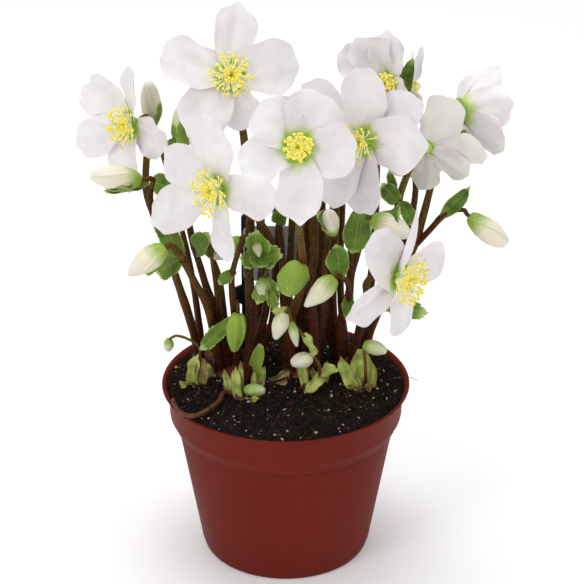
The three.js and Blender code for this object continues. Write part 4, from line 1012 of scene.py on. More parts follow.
# Clumps of stems, with the leaves and small buds on them. crown: [x, y, radius]; stems: name: [diameter,
# points, bloom that it carries or none]. A stem that is named after a bud ends in it.
clumps = {
    "left": {
        "crown": [-51, 30, 7.5],
        "stems": {
            "bloom2": [4.6, [
                [-51, 28, 104], [-58, 10, 148], [-65, 2, 179], [-72, 4, 203], [-78, 14, 214],
                [-83, 24, 230],
            ], 2],
            "bud2": [3.6, [
                [-51, 33, 104], [-55, 30, 151], [-61, 28, 192], [-68, 34, 216], [-72, 44, 234],
                [-77, 49, 250],
            ]],
            "bud1": [3.2, [[-78, 14, 214], [-80, 16, 226], [-78, 14, 238]]],
        },
        "leaves": [], "buds": [],
    },
    "midLeft": {
        "crown": [-30.5, 8, 13],
        "stems": {
            "bud4": [4.6, [
                [-39, 12, 104], [-46, 2, 157], [-54, -6, 181], [-61, -16, 202], [-65, -22.6, 212],
            ]],
            "bud3": [4.2, [
                [-35, 15, 104], [-41, 9, 149], [-47, 6, 170], [-51, 4, 187], [-55, 4, 203], [-59, 8, 227],
                [-61, 16, 249],
            ]],
            "bud8": [4, [
                [-29, 11, 104], [-31, 3, 155], [-32, -3, 180], [-30, -4, 192], [-26.6, 0.9, 200.9],
            ]],
            "shoot": [3.6, [
                [-34, 13, 104], [-37, 13, 149], [-40, 14, 174], [-44, 13, 188], [-47, 10, 203],
            ]],
            "side": [2.6, [[-40, 9, 149], [-41, 2, 168], [-43, -3, 190], [-46, -4, 212]]],
            "bloom1": [5, [
                [-23, 2, 104], [-21, 4, 153], [-22, 8, 187], [-21, 14, 214], [-23, 20, 247], [-27, 24, 275],
            ], 1],
            "low": [2.8, [[-31, 3, 155], [-30, -1, 165], [-28.5, -4, 165], [-28.4, -5, 158]]],
            "inner": [4.4, [
                [-25, 11, 104], [-12, 19, 150], [-13, 18, 180], [-16, 18, 213], [-18, 20, 239],
            ]],
            "backLeft": [4.6, [
                [-26.3, 11, 104], [-17, 24, 129], [-16.3, 30, 150], [-14.4, 32, 176], [-14.8, 34, 216],
            ]],
            "backRight": [4.4, [
                [-29, 9.6, 104], [-11, 24, 129], [-6.6, 30, 150], [-5.9, 34, 174], [-2.8, 37, 215],
            ]],
        },
        "leaves": [
            fromTo([-54, 4, 196], [-45, -8, 212], 12, face=[-0.4, -1, 0.3]),
            fromTo([-44, 12, 190], [-50, 3, 206], 9.5, face=[0.3, -1, 0.4]),
            fromTo([-30.5, -2.5, 187], [-39, -8, 181], 7),
            fromTo([-30, -3, 156], [-49.5, -8, 137.5], 9, face=[-0.3, -1, 0.4]),
            fromTo([-21, 2, 112], [-15, 1, 135], 8),
        ],
        "buds": [fromTo([-28.4, -5, 160], [-31, -9, 135], 12), fromTo([-18, 20, 237], [-16, 23, 256], 9)],
    },
    "midRight": {
        "crown": [9, 12, 13],
        "stems": {
            "bloom4": [4.6, [
                [5, 12, 104], [3, 2, 148], [9, -8, 176], [10, -20, 200], [8, -34, 231], [7, -46, 262],
            ], 4],
            "bloom3": [5, [
                [0, 14, 104], [1, 14, 145], [0, 16, 177], [-8, 13, 196], [-16, 6, 216], [-24, -4, 234],
            ], 3],
            "bloom6": [5, [
                [18, 8, 104], [17, 6, 140], [15, 8, 174], [17, 12, 190], [18, 16, 219], [30, 22, 254],
                [50, 28, 280], [64, 36, 290],
            ], 6],
            "bud9": [4, [[17, 15, 104], [21, 12, 146], [23, 6, 183], [25, -2, 205]]],
            "back": [3.4, [[1, 15, 130], [-2, 22, 160], [-2, 24, 184], [-4, 20, 214]]],
            "innerLeft": [4.4, [[4, 16.5, 104], [2, 26, 150], [3, 28, 185], [5, 31, 228], [5, 32, 247]]],
            "innerMiddle": [4.2, [[9, 19, 104], [8, 31, 150], [9, 33, 189], [11, 35, 225], [13, 36, 251]]],
            "innerRight": [4.4, [
                [16.5, 14.5, 104], [23, 22, 145], [22.5, 23, 180], [22, 26, 216], [22, 28, 241],
            ]],
            "backLeft": [4.4, [
                [10.6, 17.3, 104], [12, 26, 128], [12.4, 34, 148], [12.3, 38, 172], [14, 39, 214],
            ]],
            "backRight": [4.4, [
                [14, 16.5, 104], [18.5, 26, 128], [18.5, 34, 148], [19.6, 37, 173], [21.8, 38, 213],
            ]],
        },
        "leaves": [fromTo([-3, 20, 206], [-4, 14, 220], 8.5)],
        "buds": [
            fromTo([5, 32, 245], [7, 34, 264], 9),
            fromTo([13, 36, 249], [13, 40, 266], 8),
            fromTo([22, 28, 239], [25, 30, 257], 9),
        ],
    },
    "right": {
        "crown": [39, 20, 10],
        "stems": {
            "bloom5": [4.6, [
                [33, 18, 104], [34, 6, 152], [38, 2, 169], [39, 2, 198], [43, 4, 220], [48, 4, 250],
            ], 5],
            "bud6": [3.8, [
                [38, 2, 168], [39, 3, 181], [42, 3, 194], [45.5, 2, 207], [48.5, 0, 219], [49.5, -10, 228],
            ]],
            "bud7": [3, [[38, 2, 160], [37, -8, 180], [33, -16, 189]]],
            "bloom10": [4.6, [
                [39, 18, 104], [45, 4, 147], [48, -10, 171], [47, -30, 191], [50, -44, 204],
            ], 10],
            "bloom9": [4.8, [
                [45, 20, 104], [53, 10, 146], [66, 8, 175], [76, 8, 197], [82, 12, 218], [87, 20, 238],
                [89, 28, 256],
            ], 9],
            "bud5": [3.2, [
                [76, 8, 197], [86, 6, 210], [92, 4, 219], [96.6, 3, 222.4], [101.2, 2, 224],
                [105, 1, 224.2],
            ]],
            "bloom8": [4.4, [[53, 10, 146], [61, 6, 183], [64, 0, 215], [67, -4, 237], [71, -9, 253]], 8],
            "bloom7": [3.6, [
                [61, 7, 181], [68, 14, 192], [75, 22, 210], [77, 30, 232], [68, 38, 254], [56, 42, 270],
            ], 7],
            "innerLeft": [4.2, [[35, 22, 104], [29, 28, 145], [30, 30, 188], [31, 32, 225], [32, 34, 251]]],
            "innerRight": [4.4, [
                [43, 21.5, 104], [50, 27, 145], [53, 25, 190], [54, 22, 221], [54, 20, 246],
            ]],
            "backLeft": [4.2, [
                [36, 21.6, 104], [27, 30, 126], [26, 38, 146], [26, 39, 171], [28.5, 39, 212],
            ]],
            "backRight": [4.2, [
                [39, 24.5, 104], [35.8, 30, 126], [33.8, 36, 148], [33.2, 38, 172], [34.5, 38, 215],
            ]],
        },
        "leaves": [
            fromTo([38, 1, 170], [37, -6, 157], 7.5, face=[0, -1, 0]),
            fromTo([89, 30, 260], [108, 22, 262], 7.5, face=[0.3, -1, 0.6]),
            fromTo([66, 7, 176], [76, 0, 171], 6),
            fromTo([48, -14, 176], [81, -24, 169], 12, face=[0.2, -1, 0.4]),
        ],
        "buds": [fromTo([32, 34, 249], [32, 39, 266], 8), fromTo([54, 20, 244], [54, 26, 258], 7)],
    },
}

# Whorls of bracts, each on a short sleeve round its stem; leaf: what all leaves of a whorl share
whorls = {
    "bracts_bud_1": {
        "sleeve": [[-79, 15.5, 231], [-78, 14, 238]], "around": 3.2,
        "leaves": [
            fromTo([-77, 14, 236], [-59, 4, 237], 17, cup=0.35),
            fromTo([-80, 13, 236], [-104, 2, 236], 10, face=[0, -0.3, 1], bend=24, cup=0.5),
        ],
    },
    "bracts_bud_4": {
        "sleeve": [[-60, -14.4, 199], [-62, -17.5, 205]],
        "around": 4.6, "shift": (0, 3.5, 0),
        "leaves": [
            fromTo([-61, -16, 201], [-74, -4, 221], 13, cup=0.25),
            fromTo([-61, -16, 200], [-75, -13, 188], 14, face=[-0.3, -1, 0.5], cup=0.3),
        ],
    },
    "bracts_mid": {
        "sleeve": [[-21.8, 7.2, 183], [-21.9, 8.4, 191]],
        "around": 5,
        "pedicels": [
            [2.8, [[-20, 5, 186], [-15.5, 3.2, 190.5], [-16.5, 2.6, 202]]],
            [2.6, [[-15.5, 2.5, 190], [-10.5, -1, 189.5], [-13.5, -4, 180]]],
        ],
        "buds": [
            fromTo([-17, 2, 204], [-15.6, -5, 196.5], 6.5, sides=6),
            fromTo([-13.5, -4, 183], [-14, -9, 169.5], 8, sides=6),
        ],
        "leaf": {"tone": 0.3, "teeth": 0.14, "claw": 0.7, "wavy": 1.8, "ruffle": 1.4},
        "leaves": [
            fromTo([-16, 4.5, 192], [-18, -1, 211], 13, cup=0.5),
            fromTo([-17.5, 3, 192], [-3, -6, 199], 12, face=[0, -1, 0.6], bend=-10),
            fromTo([-14.5, 2, 193], [-26, -6, 195], 10, face=[0, -1, 0.6], bend=20),
            fromTo([-16, 2, 195], [-14, -9, 192], 13, face=[0, -0.4, 1], bend=20),
            fromTo([-12.5, -4, 182], [-7, -8, 170.5], 8, face=[0.5, -1, 0.3]),
            fromTo([-13.5, -4, 182], [-16, -10, 169], 10, face=[0.6, 1, 0.2], bend=40),
            fromTo([-12, -6, 176], [-5.5, -11, 166], 6.5, face=[0, -1, 0.3]),
        ],
    },
    "bracts_round": {
        "sleeve": [[9.6, -17, 195], [9.9, -20.5, 201]],
        "around": 4.6,
        "buds": [
            fromTo(
                [8.6, -22, 202], [0.3, -28, 182.6], 17, tone=0.5, laps=3, lap=0.3, blunt=0.8, sides=64,
                rows=34, phase=0.3, twist=0.7, folds=0.05,
            ),
        ],
        "budSlot": 0,
        "leaf": {"tone": 0.35, "bend": 60, "cup": 0.5, "teeth": 0.04, "round": 0.4, "claw": 0.6},
        "leaves": [fromTo([5, -22, 201], [-5, -25, 185.5], 11, face=[1, 0.6, 0.1])],
    },
    "leaf_big": {
        "sleeve": [[43, 4.1, 219.5], [44.6, 4.4, 228]],
        "around": 4.6,
        "leaf": {"round": 0.56, "point": 0.4, "tone": 0.1, "teeth": 0.07},
        "leaves": [fromTo([44, 2, 225], [39.5, -8, 201], 16.5, cup=0.25, rows=6)],
    },
    "leaf_bud_7": {
        "sleeve": [[34.4, -14, 187], [31.6, -18.6, 191]],
        "around": 3,
        "leaf": {"round": 0.56, "point": 0.4},
        "leaves": [fromTo([32, -17, 189], [30, -15, 209], 13, cup=0.2)],
    },
    "bracts_bloom_8": {
        "sleeve": [[65.7, -2.4, 229], [67, -4.4, 238]],
        "around": 4.4,
        "leaves": [
            fromTo([66, -5, 233], [56, -11, 246], 10),
            fromTo([65, -4, 235], [60, -2, 250], 5),
            fromTo([67, -5, 233], [74, -14, 222], 8.5, face=[0.3, -1, 0.3]),
        ],
    },
    "bract_bloom_7": {
        "sleeve": [[65.6, 39, 257.5], [60, 41, 265]], "around": 3.6,
        "leaf": {"teeth": 0.05, "point": 0.5, "cup": 0.6},
        "leaves": [fromTo([61, 40, 264], [73.5, 27, 309], 11, face=[0, -1, 0.2], rows=6)],
    },
    "leaf_bud_5": {
        "sleeve": [[88.5, 5.1, 213.8], [94.5, 3.4, 221]],
        "around": 3.2,
        "leaf": {"teeth": 0.05, "point": 0.7},
        "leaves": [fromTo([92, 4, 219], [107, -1, 240], 9, cup=0.5)],
    },
}


def wrap(base, tip, width, face):  # a bract that lies against a bud, hollow side to it
    return fromTo(base, tip, width, face=face, bend=50, cup=0.55, teeth=0.03, claw=0.6, tone=0.25)


# Closed buds, each at the end of its own stem
buds = {
    "bud_1": fromTo([-86, 6.5, 241.6], [-113, -5, 249], 15, blunt=0.7, phase=0.3, leaves=[
        wrap([-86, 6, 240], [-102, -4, 239], 12, [0, 0.2, 1]),
    ]),
    "bud_2": fromTo([-79, 50, 258.6], [-81, 46, 287], 12, blunt=1.0, tone=0.1, leaves=[
        wrap([-77, 48, 259], [-74.5, 46, 274], 9, [-1, 0.1, 0]),
    ]),
    "bud_3": fromTo([-60, 18.4, 258.5], [-62, 22, 281], 11, blunt=0.8, tone=0.5, leaves=[
        fromTo([-60, 17.5, 260], [-69, 13.5, 262], 7),
        wrap([-59, 14.5, 259], [-58, 15.5, 277], 11, [-0.3, 1, 0.2]),
        wrap([-63, 15.5, 259], [-66, 19, 272], 8, [1, 0.7, 0.2]),
    ]),
    "bud_4": fromTo([-70.4, -27.6, 213], [-91, -36, 200], 14.5, blunt=0.15, phase=0.6, leaves=[
        wrap([-70.5, -30.5, 210.5], [-80, -35, 199], 12, [0.1, 0.7, 1]),
    ]),
    "bud_5": fromTo([108.6, -1.4, 220.8], [130, -8, 206], 14, blunt=0.95, phase=0.45),
    "bud_6": fromTo([51, -25.6, 231], [72, -35, 225], 14.5, blunt=0.6, phase=0.8, leaves=[
        fromTo([51.5, -26, 232], [65, -31, 238.5], 14, face=[0, 0.5, -1], cup=0.4),
    ]),
    "bud_7": fromTo([28, -22.6, 190.6], [11, -31, 177], 13, blunt=0.1, phase=0.75, tone=0.15),
    "bud_8": fromTo([-27.5, 5.5, 202.5], [-43, 6, 190], 11, blunt=0.4),
    "bud_9": fromTo([27.5, -7, 213.4], [25, -9, 229], 10.5, blunt=1.0, leaves=[
        fromTo([26.5, -7, 215], [19, -8, 226], 12, face=[1, -0.6, 0], cup=0.4),
    ]),
}

stemTones = {  # 0 red-brown, 1 olive
    "bloom4": 1.0, "bloom3": 0.6, "bloom6": 0.7, "bloom8": 1.0, "bloom7": 0.8, "shoot": 0.6, "bloom1": 0.9,
    "bud4": 0.5, "bud6": 0.9, "bloom2": 0.7, "innerLeft": 0.5, "innerRight": 0.3, "innerMiddle": 0.7,
    "bloom9": 0.6,
}


clumpLook = {
    "footThicker": 1.3, "endThinner": 0.78, "tone": 0.35, "crownTop": 114.1, "nearSoil": 120,
    "redAbove": ("bracts_round", "leaf_bud_7", "bracts_mid", "leaf_bud_5"),
    "lowLeaf": {"tone": 0.8, "teeth": 0.03}, "highLeaf": {"tone": 0.1, "teeth": 0.16},
    "ribbed": {"laps": 6, "lap": 0.3, "twist": 0.3, "blunt": 0.35, "sides": 60}, "ribbedFrom": 10,
}


def endBehind(bloom):  # a flower stem's last two points, straight behind its bloom
    matrix = facing(bloom["centre"], bloom["azimuth"], bloom["elevation"])
    behind, end = 14, 3.6
    return [tuple(matrix @ Vector((0, 0, -behind))), tuple(matrix @ Vector((0, 0, -end)))]


def endInside(bud):  # a bud stem's last two points, straight behind its bud and a little way in
    foot, tip = Vector(bud["base"]), Vector(bud["tip"])
    along = (tip - foot).normalized()
    behind, inside = 3, 1.2
    return [tuple(foot - behind * along), tuple(foot + inside * along)]


def stemPath(title, points, carries):
    bud = buds.get(title.replace("bud", "bud_"))
    if bud:
        return points + endInside(bud)
    return points + endBehind(blooms[carries[0] - 1]) if carries else points


def rootstock(x, y, radius, topZ):  # a low lumpy crown that the stems grow from
    footZ, soilZ = 99, 104
    profile = [
        (0, footZ), (radius, footZ), (radius * 1.02, 106), (radius * 0.97, topZ - 3),
        (radius * 0.8, topZ - 1.2), (radius * 0.5, topZ - 0.2), (0, topZ),
    ]
    patch = moved(lathePatch(profile, 26), Matrix.Translation((x, y, 0)))
    for point in patch["points"]:
        lump = noise.noise(Vector(point) * 0.35)
        point[:2] += (point[:2] - (x, y)) * 0.12 * lump
        point[2] += 0.9 * lump if point[2] > soilZ else 0
    return patch


def clumpPatches(clump, look):
    x, y, radius = clump["crown"]
    patches = [rootstock(x, y, radius * 0.97, look["crownTop"])]
    for leaf in clump["leaves"]:
        style = look["lowLeaf"] if leaf["base"][2] < look["nearSoil"] else look["highLeaf"]
        patches.append(leafPatch({"ruffle": 0.9, **style, **leaf}, 1))
    for bud in clump["buds"]:
        large = bud["width"] > look["ribbedFrom"]
        style = {"tone": 0.8, "sides": 30, **(look["ribbed"] if large else {})}
        patches.append(budPatch({**style, **bud}, 1 if large else 2))
    return patches


def makeClump(side, clump, look):
    name = "stems" + side[0].upper() + side[1:]
    lines = []
    for title, (diameter, points, *carries) in clump["stems"].items():
        foot, end = diameter * look["footThicker"], diameter * look["endThinner"]
        lines.append((stemPath(title, points, carries), foot, end, stemTones.get(title, look["tone"])))
    redSpots = [whorls[whorl]["sleeve"][1] for whorl in look["redAbove"]]
    stems = stemMesh(name, lines, "stem", 14, redSpots)
    crown = buildMesh(name + "Crown", clumpPatches(clump, look), ["withered", "bract", "bud"])
    addPiece(name, joined(name, [stems, crown]), "stem", "stems_" + side)


for side, clump in clumps.items():
    makeClump(side, clump, clumpLook)
print("stems grown:", sum(len(clump["stems"]) for clump in clumps.values()))


def titleOf(name):  # bract_bloom_7 gives bractBloom7
    first, *others = name.split("_")
    return first + "".join(part[0].upper() + part[1:] for part in others)


def makeWhorl(name, whorl):
    title = titleOf(name)
    patches = []
    for leaf in whorl["leaves"]:
        patch = leafPatch({"rows": 28, "columns": 18, "ruffle": 1.0, **whorl.get("leaf", {}), **leaf})
        patches.append(moved(patch, Matrix.Translation(whorl.get("shift", (0, 0, 0)))))
    for bud in whorl.get("buds", []):
        patches.append(budPatch({"tone": 0.35, "sides": 36, **bud}, whorl.get("budSlot", 1)))
    stalks = [(whorl["sleeve"], whorl["around"] + 0.3, whorl["around"] - 0.1, 1.0)]
    stalks += [(points, diameter, diameter * 0.85, 1.0) for diameter, points in whorl.get("pedicels", [])]
    meshes = [buildMesh(title, patches, ["bract", "bud"]), stemMesh(title + "Stalks", stalks, "stem")]
    addPiece(title, joined(title, meshes), "bract", name)


for name, whorl in whorls.items():
    makeWhorl(name, whorl)
print("bracts opened:", len(whorls))


def makeBud(name, bud):
    title = titleOf(name)
    foot, tip = Vector(bud["base"]), Vector(bud["tip"])
    down = 1.8  # to the stem's end
    shape = {"sides": 48, "rows": 26, **bud, "base": foot - down * (tip - foot).normalized()}
    patches = [budPatch(shape)]
    patches += [leafPatch({"ruffle": 1.0, **leaf}, 1) for leaf in bud.get("leaves", [])]
    addPiece(title, buildMesh(title, patches, ["bud", "bract"]), "bud", name)


for name, bud in buds.items():
    makeBud(name, bud)
print("buds closed:", len(buds))


# Young shoots and scales at the soil: blades from a root, small buds on arched stalks.
# tone: 0 is fresh and 1 withered
sprays = {
    "spray_left": {
        "root": [-27, -20, 6],
        "blades": [
            fromTo([-29, -21, 113], [-30, -15, 128], 6, tone=0.1),
            fromTo([-27, -16, 113], [-27, -12, 130], 4, tone=0.5),
            fromTo([-31, -18, 113], [-37, -11, 124], 5, tone=0.3),
            fromTo([-24, -17, 113.5], [-13, -12, 116.5], 6, tone=0.7),
            fromTo([-24, -23, 113.5], [-16, -29, 115], 4, tone=0.0),
            fromTo([-33, -15, 112], [-37, -9, 117], 4, tone=0.8),
            fromTo([-20, -13, 112], [-19, -7, 121], 3.5, tone=0.1),
            fromTo([-17, -5, 112], [-13, -3, 122], 6, tone=0.2),
            fromTo([-12, -8, 112], [1, -5, 114], 5, tone=0.9),
            fromTo([-8, 0, 112], [2, 3, 116], 7, tone=0.7),
        ],
        "pedicels": [
            [3, [
                [-29, -20, 112], [-36.9, -19.5, 113.5], [-39.6, -32.2, 114.5], [-46.4, -43, 114.5],
                [-53.2, -50, 114.9], [-59.1, -49, 114.9], [-64, -42, 114.9], [-67, -31, 114.9],
            ]],
        ],
        "buds": [fromTo([-25, -20, 115.5], [-12, -25, 117.5], 8, tone=0.8, blunt=0.8)],
        "stalks": "withered",
    },
    "spray_far_left": {
        "root": [-54, -3, 5],
        "blades": [
            fromTo([-56, -4, 112.5], [-53, -1, 129], 8, face=[-0.5, -1, 0.3], tone=0.05),
            fromTo([-52, -4, 112.5], [-50, 0, 127], 8, bend=-40, tone=0.75),
            fromTo([-57, -5, 112.5], [-64, -8, 114], 6, tone=0.1),
            fromTo([-44, 4, 113], [-48, 9, 118], 5, tone=0.4),
        ],
        "pedicels": [
            [2, [
                [-54, -3, 107], [-52, -2.5, 125], [-52, -3, 135], [-58, -2, 140], [-66, 1, 141],
                [-70.5, 3, 137],
            ]],
        ],
        "buds": [fromTo([-70.5, 3, 138], [-71, 3, 129.5], 6.5, tone=0.3, blunt=0.9)],
    },
    "spray_middle": {
        "root": [14, -12, 7],
        "blades": [
            fromTo([12, -10, 113], [9, -2, 130], 6, tone=0.3),
            fromTo([22, -11, 122], [11.5, -20, 113.6], 7, face=[0.4, -1, 0.6], tone=0.0),
            fromTo([20.5, -12, 122], [31.4, -13, 125], 8, face=[0, -0.7, 1], cup=0.6, tone=-0.1),
            fromTo([0, -17, 168], [-8, -20, 168.5], 5, tone=0.0),
            fromTo([10, -16.5, 151], [17, -20, 138], 6, face=[1, -1, 0.4], tone=0.0),
            fromTo([23, -2, 112], [25, 2, 123], 5, tone=0.2),
            fromTo([19, -5, 112], [16, 0, 120], 4, tone=0.5),
        ],
        "pedicels": [
            [2.4, [[17, -12, 109], [20.5, -13, 122], [19.5, -15, 131], [15.5, -17, 137]]],
            [2.6, [
                [18, -14, 128], [14, -16, 144], [7, -16.5, 155], [2.6, -16.5, 162], [1, -15.5, 169],
                [-1, -18, 165],
            ]],
        ],
        "buds": [
            fromTo([16, -17, 136.2], [3, -22, 134.5], 10, tone=-0.8, blunt=0.7),
            fromTo([-0.9, -18, 167], [-6.2, -23, 150.8], 10, tone=-0.75, blunt=0.3),
            fromTo([3, -18, 160.5], [6.8, -21, 145], 6, tone=0.3, blunt=0.3),
        ],
    },
    "spray_right": {
        "root": [44, -8, 7],
        "blades": [
            fromTo([49, -7, 112.5], [45, 0, 133], 14, cup=0.6, tone=0.2),
            fromTo([41, -10, 112.5], [33, -4, 129], 8, cup=0.4, tone=0.05),
            fromTo([45, -10, 112.5], [40, -6, 121], 5, tone=0.6),
            fromTo([34, -6, 112.5], [41, -11, 113], 5, tone=0.9),
            fromTo([38, -8, 112.5], [44, -14, 114], 5, tone=0.8),
            fromTo([46, -9, 112], [52, -14, 116], 6, tone=0.7),
        ],
        "pedicels": [[2.4, [[48, -8, 109], [48, -10, 124], [46.8, -10.7, 139]]]],
        "buds": [fromTo([46, -10.5, 141], [60.4, -17, 140], 9, tone=0.5, blunt=0.6)],
    },
}


# The soil's shape stands here, as the shoots need its height
def soilHeight(x, y):  # a low mound at the plant, with lumps
    reach = math.hypot(x, y) / soilLook["radius"]
    lumps = math.sin(x * 0.31 + 1.3) * math.cos(y * 0.27) + 0.6 * math.sin(x * 0.13 - y * 0.41)
    return soilLook["rimZ"] + soilLook["mound"] * (1 - reach * reach) + 0.8 * lumps * (1 - reach ** 4)


soilLook = {
    "radius": 69, "rimZ": 109.6, "mound": 2, "footZ": 2.2, "sides": 120, "rings": 56, "seed": 7,
    "wall": ((40, 2.2), (46, 2.2), (49.5, 8), (63.5, 88), (68.4, 93), (70, 107)), "edge": 71.2, "middle": 1.2,
    "lumps": {  # how many on a square millimetre, size, how patchy, finish
        "soilCrumbs": (0.26, 1.35, 0.0, "crumb"),
        "soilBark": (0.03, 1.5, 0.4, "bark"),
        "soilGrit": (0.42, 0.6, 0.4, "crumb"),
        "soilPerlite": (0.016, 1.15, 0.44, "perlite"),
        "soilDust": (0.05, 0.5, 0.5, "perlite"),
    },
    "lumpReach": 70.6,
    "moss": 1.3, "mossReach": 69, "mossLength": 1.7, "mossPatchy": 0.58,
    "fibres": 110, "fibreReach": 64, "fibreStep": 3.2,
    "longFibre": [(60, 2, 109.5), (69, 1, 112.5), (76, 0, 113), (80, -2, 111.5)],
}


sheathShape = {
    "teeth": 0.0, "point": 0.35, "claw": 0.75, "cup": 0.6, "ruffle": 1.1, "wavy": 1.6, "widest": 0.5,
    "thickness": 0.45,
}


def sunk(leaf):  # a scale's foot, set down into the soil or the root
    x, y, z = leaf["base"]
    return {**leaf, "base": [x, y, z - 3 if z < clumpLook["nearSoil"] else z]}


def makeSpray(name, spray):
    title = titleOf(name)
    x, y, radius = spray["root"]
    patches = [rootstock(x, y, radius * 0.9, soilHeight(x, y) + 1.8)]
    patches += [leafPatch({**sheathShape, **sunk(leaf)}, 1) for leaf in spray["blades"]]
    patches += [budPatch({**bud, "sides": 32, "rows": 18}, 2) for bud in spray["buds"]]
    meshes = [buildMesh(title, patches, ["withered", "sheath", "bud"])]
    for i, (diameter, points) in enumerate(spray["pedicels"]):
        line = [(points, diameter, diameter * 0.8, 1.0)]
        meshes.append(stemMesh(f"{title}Pedicel{i}", line, spray.get("stalks", "stem"), 10))
    addPiece(title, joined(title, meshes), "bract", name)


for name, spray in sprays.items():
    makeSpray(name, spray)
print("shoots set:", len(sprays))


# The soil: its body, then crumbs, perlite, moss and fibres on top
def soilTop(x, y):  # the mound with its fine unevenness
    broad = 0.9 * noise.noise(Vector((x / 5.5, y / 5.5, 3.0)))
    return soilHeight(x, y) + (broad + 0.45 * noise.noise(Vector((x / 2.1, y / 2.1, 8.0))))


def soilPatch(look):
    rings = list(look["wall"])
    rings += [(radius, None) for radius in np.linspace(look["edge"], look["middle"], look["rings"])]
    points = [(0, 0, look["footZ"])]
    for radius, z in rings:
        for angle in fullTurn(look["sides"]):
            x, y = radius * math.cos(angle), radius * math.sin(angle)
            points.append((x, y, soilTop(x, y) if z is None else z))
    points.append((0, 0, soilTop(0, 0)))
    faces = cappedFaces(len(rings), look["sides"])
    return {"points": np.array(points), "faces": faces, "grain": np.zeros((len(points), 3)), "slot": 0}


def scatterGround(name, radius, step=1.6):  # the open ground that the trees scatter on
    count = int(2 * radius / step)
    points, faces, index = [], [], {}
    for row in range(count + 1):
        for column in range(count + 1):
            x, y = -radius + column * step, -radius + row * step
            if math.hypot(x, y) < radius:
                index[row, column] = len(points)
                points.append((x * mm, y * mm, soilTop(x, y) * mm))
    for row, column in index:
        corners = [(row, column), (row, column + 1), (row + 1, column + 1), (row + 1, column)]
        if all(corner in index for corner in corners):
            faces.append([index[corner] for corner in corners])
    mesh = bpy.data.meshes.new(name)
    mesh.from_pydata(points, [], faces)
    return newObject(name, mesh)


def scattered(tree, given, chosen):  # random points on the chosen part of the ground
    return made(tree, "GeometryNodeDistributePointsOnFaces", {
        "Mesh": given["Geometry"], "Selection": chosen, "Density": given["Density"], "Seed": given["Seed"],
    })


lumpShape = {  # uneven: the smallest and largest stretch of a lump along its three axes
    "clouds": 45.0, "sizes": (0.35, 1.1), "mostlySmall": 1.6, "uneven": ((0.6, 0.6, 0.45), (1.3, 1.2, 1.0)),
    "roughness": 900.0,
}


def makeScatterTree(look):  # small uneven stones or crumbs, set half into the ground
    tree, given = newTree("scatteredLumps", [
        ("Density", "Float"), ("Size", "Float"), ("Seed", "Int"), ("Patchy", "Float"), ("Finish", "Material"),
    ])
    seed = given["Seed"]
    clouds = {"Vector": made(tree, "GeometryNodeInputPosition"), "Scale": look["clouds"], "Detail": 2.0}
    chosen = sums(tree, "GREATER_THAN", made(tree, "ShaderNodeTexNoise", clouds), given["Patchy"])
    spots = scattered(tree, given, chosen)
    lump = made(tree, "GeometryNodeMeshIcoSphere", {"Radius": 1.0, "Subdivisions": 1})
    spin = turned(tree, drawThree(tree, (0, 0, 0), (6.28, 6.28, 6.28), seed))
    size = sums(tree, "POWER", draw(tree, *look["sizes"], seed), look["mostlySmall"])
    size = sums(tree, "MULTIPLY", given["Size"], size)
    uneven = {0: drawThree(tree, *look["uneven"], seed), "Scale": size}
    scale = made(tree, "ShaderNodeVectorMath", uneven, operation="SCALE")
    lumps = copies(tree, spots, lump, spin, scale)
    fine = {"Vector": made(tree, "GeometryNodeInputPosition"), "Scale": look["roughness"], "Detail": 1.0}
    rough = wire(tree, "ShaderNodeTexNoise", fine).outputs["Color"]
    push = made(tree, "ShaderNodeVectorMath", {0: rough, 1: (0.5, 0.5, 0.5)}, operation="SUBTRACT")
    push = made(tree, "ShaderNodeVectorMath", {0: push, "Scale": given["Size"]}, operation="SCALE")
    return closeTree(tree, painted(tree, shifted(tree, lumps, push), given["Finish"]))


mossShape = {  # in metres
    "clouds": 34.0, "cloudShift": (0.4, 0.1, 0.0), "towardsRight": 1.6,  # it keeps to the right and the front
    "top": 0.00004, "foot": 0.00022, "lean": ((-0.9, -0.9, 0.0), (0.9, 0.9, 6.28)), "stretch": (0.5, 1.2),
}


def makeMossTree(look):
    tree, given = newTree("mossTufts", [
        ("Density", "Float"), ("Length", "Float"), ("Seed", "Int"), ("Patchy", "Float"),
        ("Finish", "Material"),
    ])
    here = made(tree, "GeometryNodeInputPosition")
    away = made(tree, "ShaderNodeVectorMath", {0: here, 1: look["cloudShift"]}, operation="ADD")
    cloud = grainNoise(tree, away, look["clouds"])
    x, y = wire(tree, "ShaderNodeSeparateXYZ", {0: here}).outputs[0:2]
    rightwards = sums(tree, "MULTIPLY", sums(tree, "SUBTRACT", x, y), look["towardsRight"])
    chosen = sums(tree, "GREATER_THAN", sums(tree, "ADD", cloud, rightwards), given["Patchy"])
    spots = scattered(tree, given, chosen)
    blade = cone(tree, 3, 1, look["top"], look["foot"], given["Length"])
    lean = turned(tree, drawThree(tree, *look["lean"], given["Seed"]))
    stretch = triple(tree, 1.0, 1.0, draw(tree, *look["stretch"], given["Seed"]))
    tufts = smooth(tree, copies(tree, spots, blade, lean, stretch))
    return closeTree(tree, painted(tree, tufts, given["Finish"]))


def fibrePaths(look):
    pick = np.random.default_rng(look["seed"])
    paths = []
    for _ in range(look["fibres"]):
        turn, reach = pick.uniform(0, 2 * math.pi), look["fibreReach"] * math.sqrt(pick.uniform(0.02, 1))
        x, y = reach * math.cos(turn), reach * math.sin(turn)
        heading, path = pick.uniform(0, 2 * math.pi), []
        for step in range(4):
            path.append((x, y, soilTop(x, y) + (pick.uniform(0.0, 1.2) if step % 2 else -0.3)))
            heading += pick.uniform(-0.9, 0.9)
            x, y = x + look["fibreStep"] * math.cos(heading), y + look["fibreStep"] * math.sin(heading)
            if math.hypot(x, y) > look["fibreReach"] + 2:
                break
        if len(path) > 2:
            paths.append(path)
    return paths


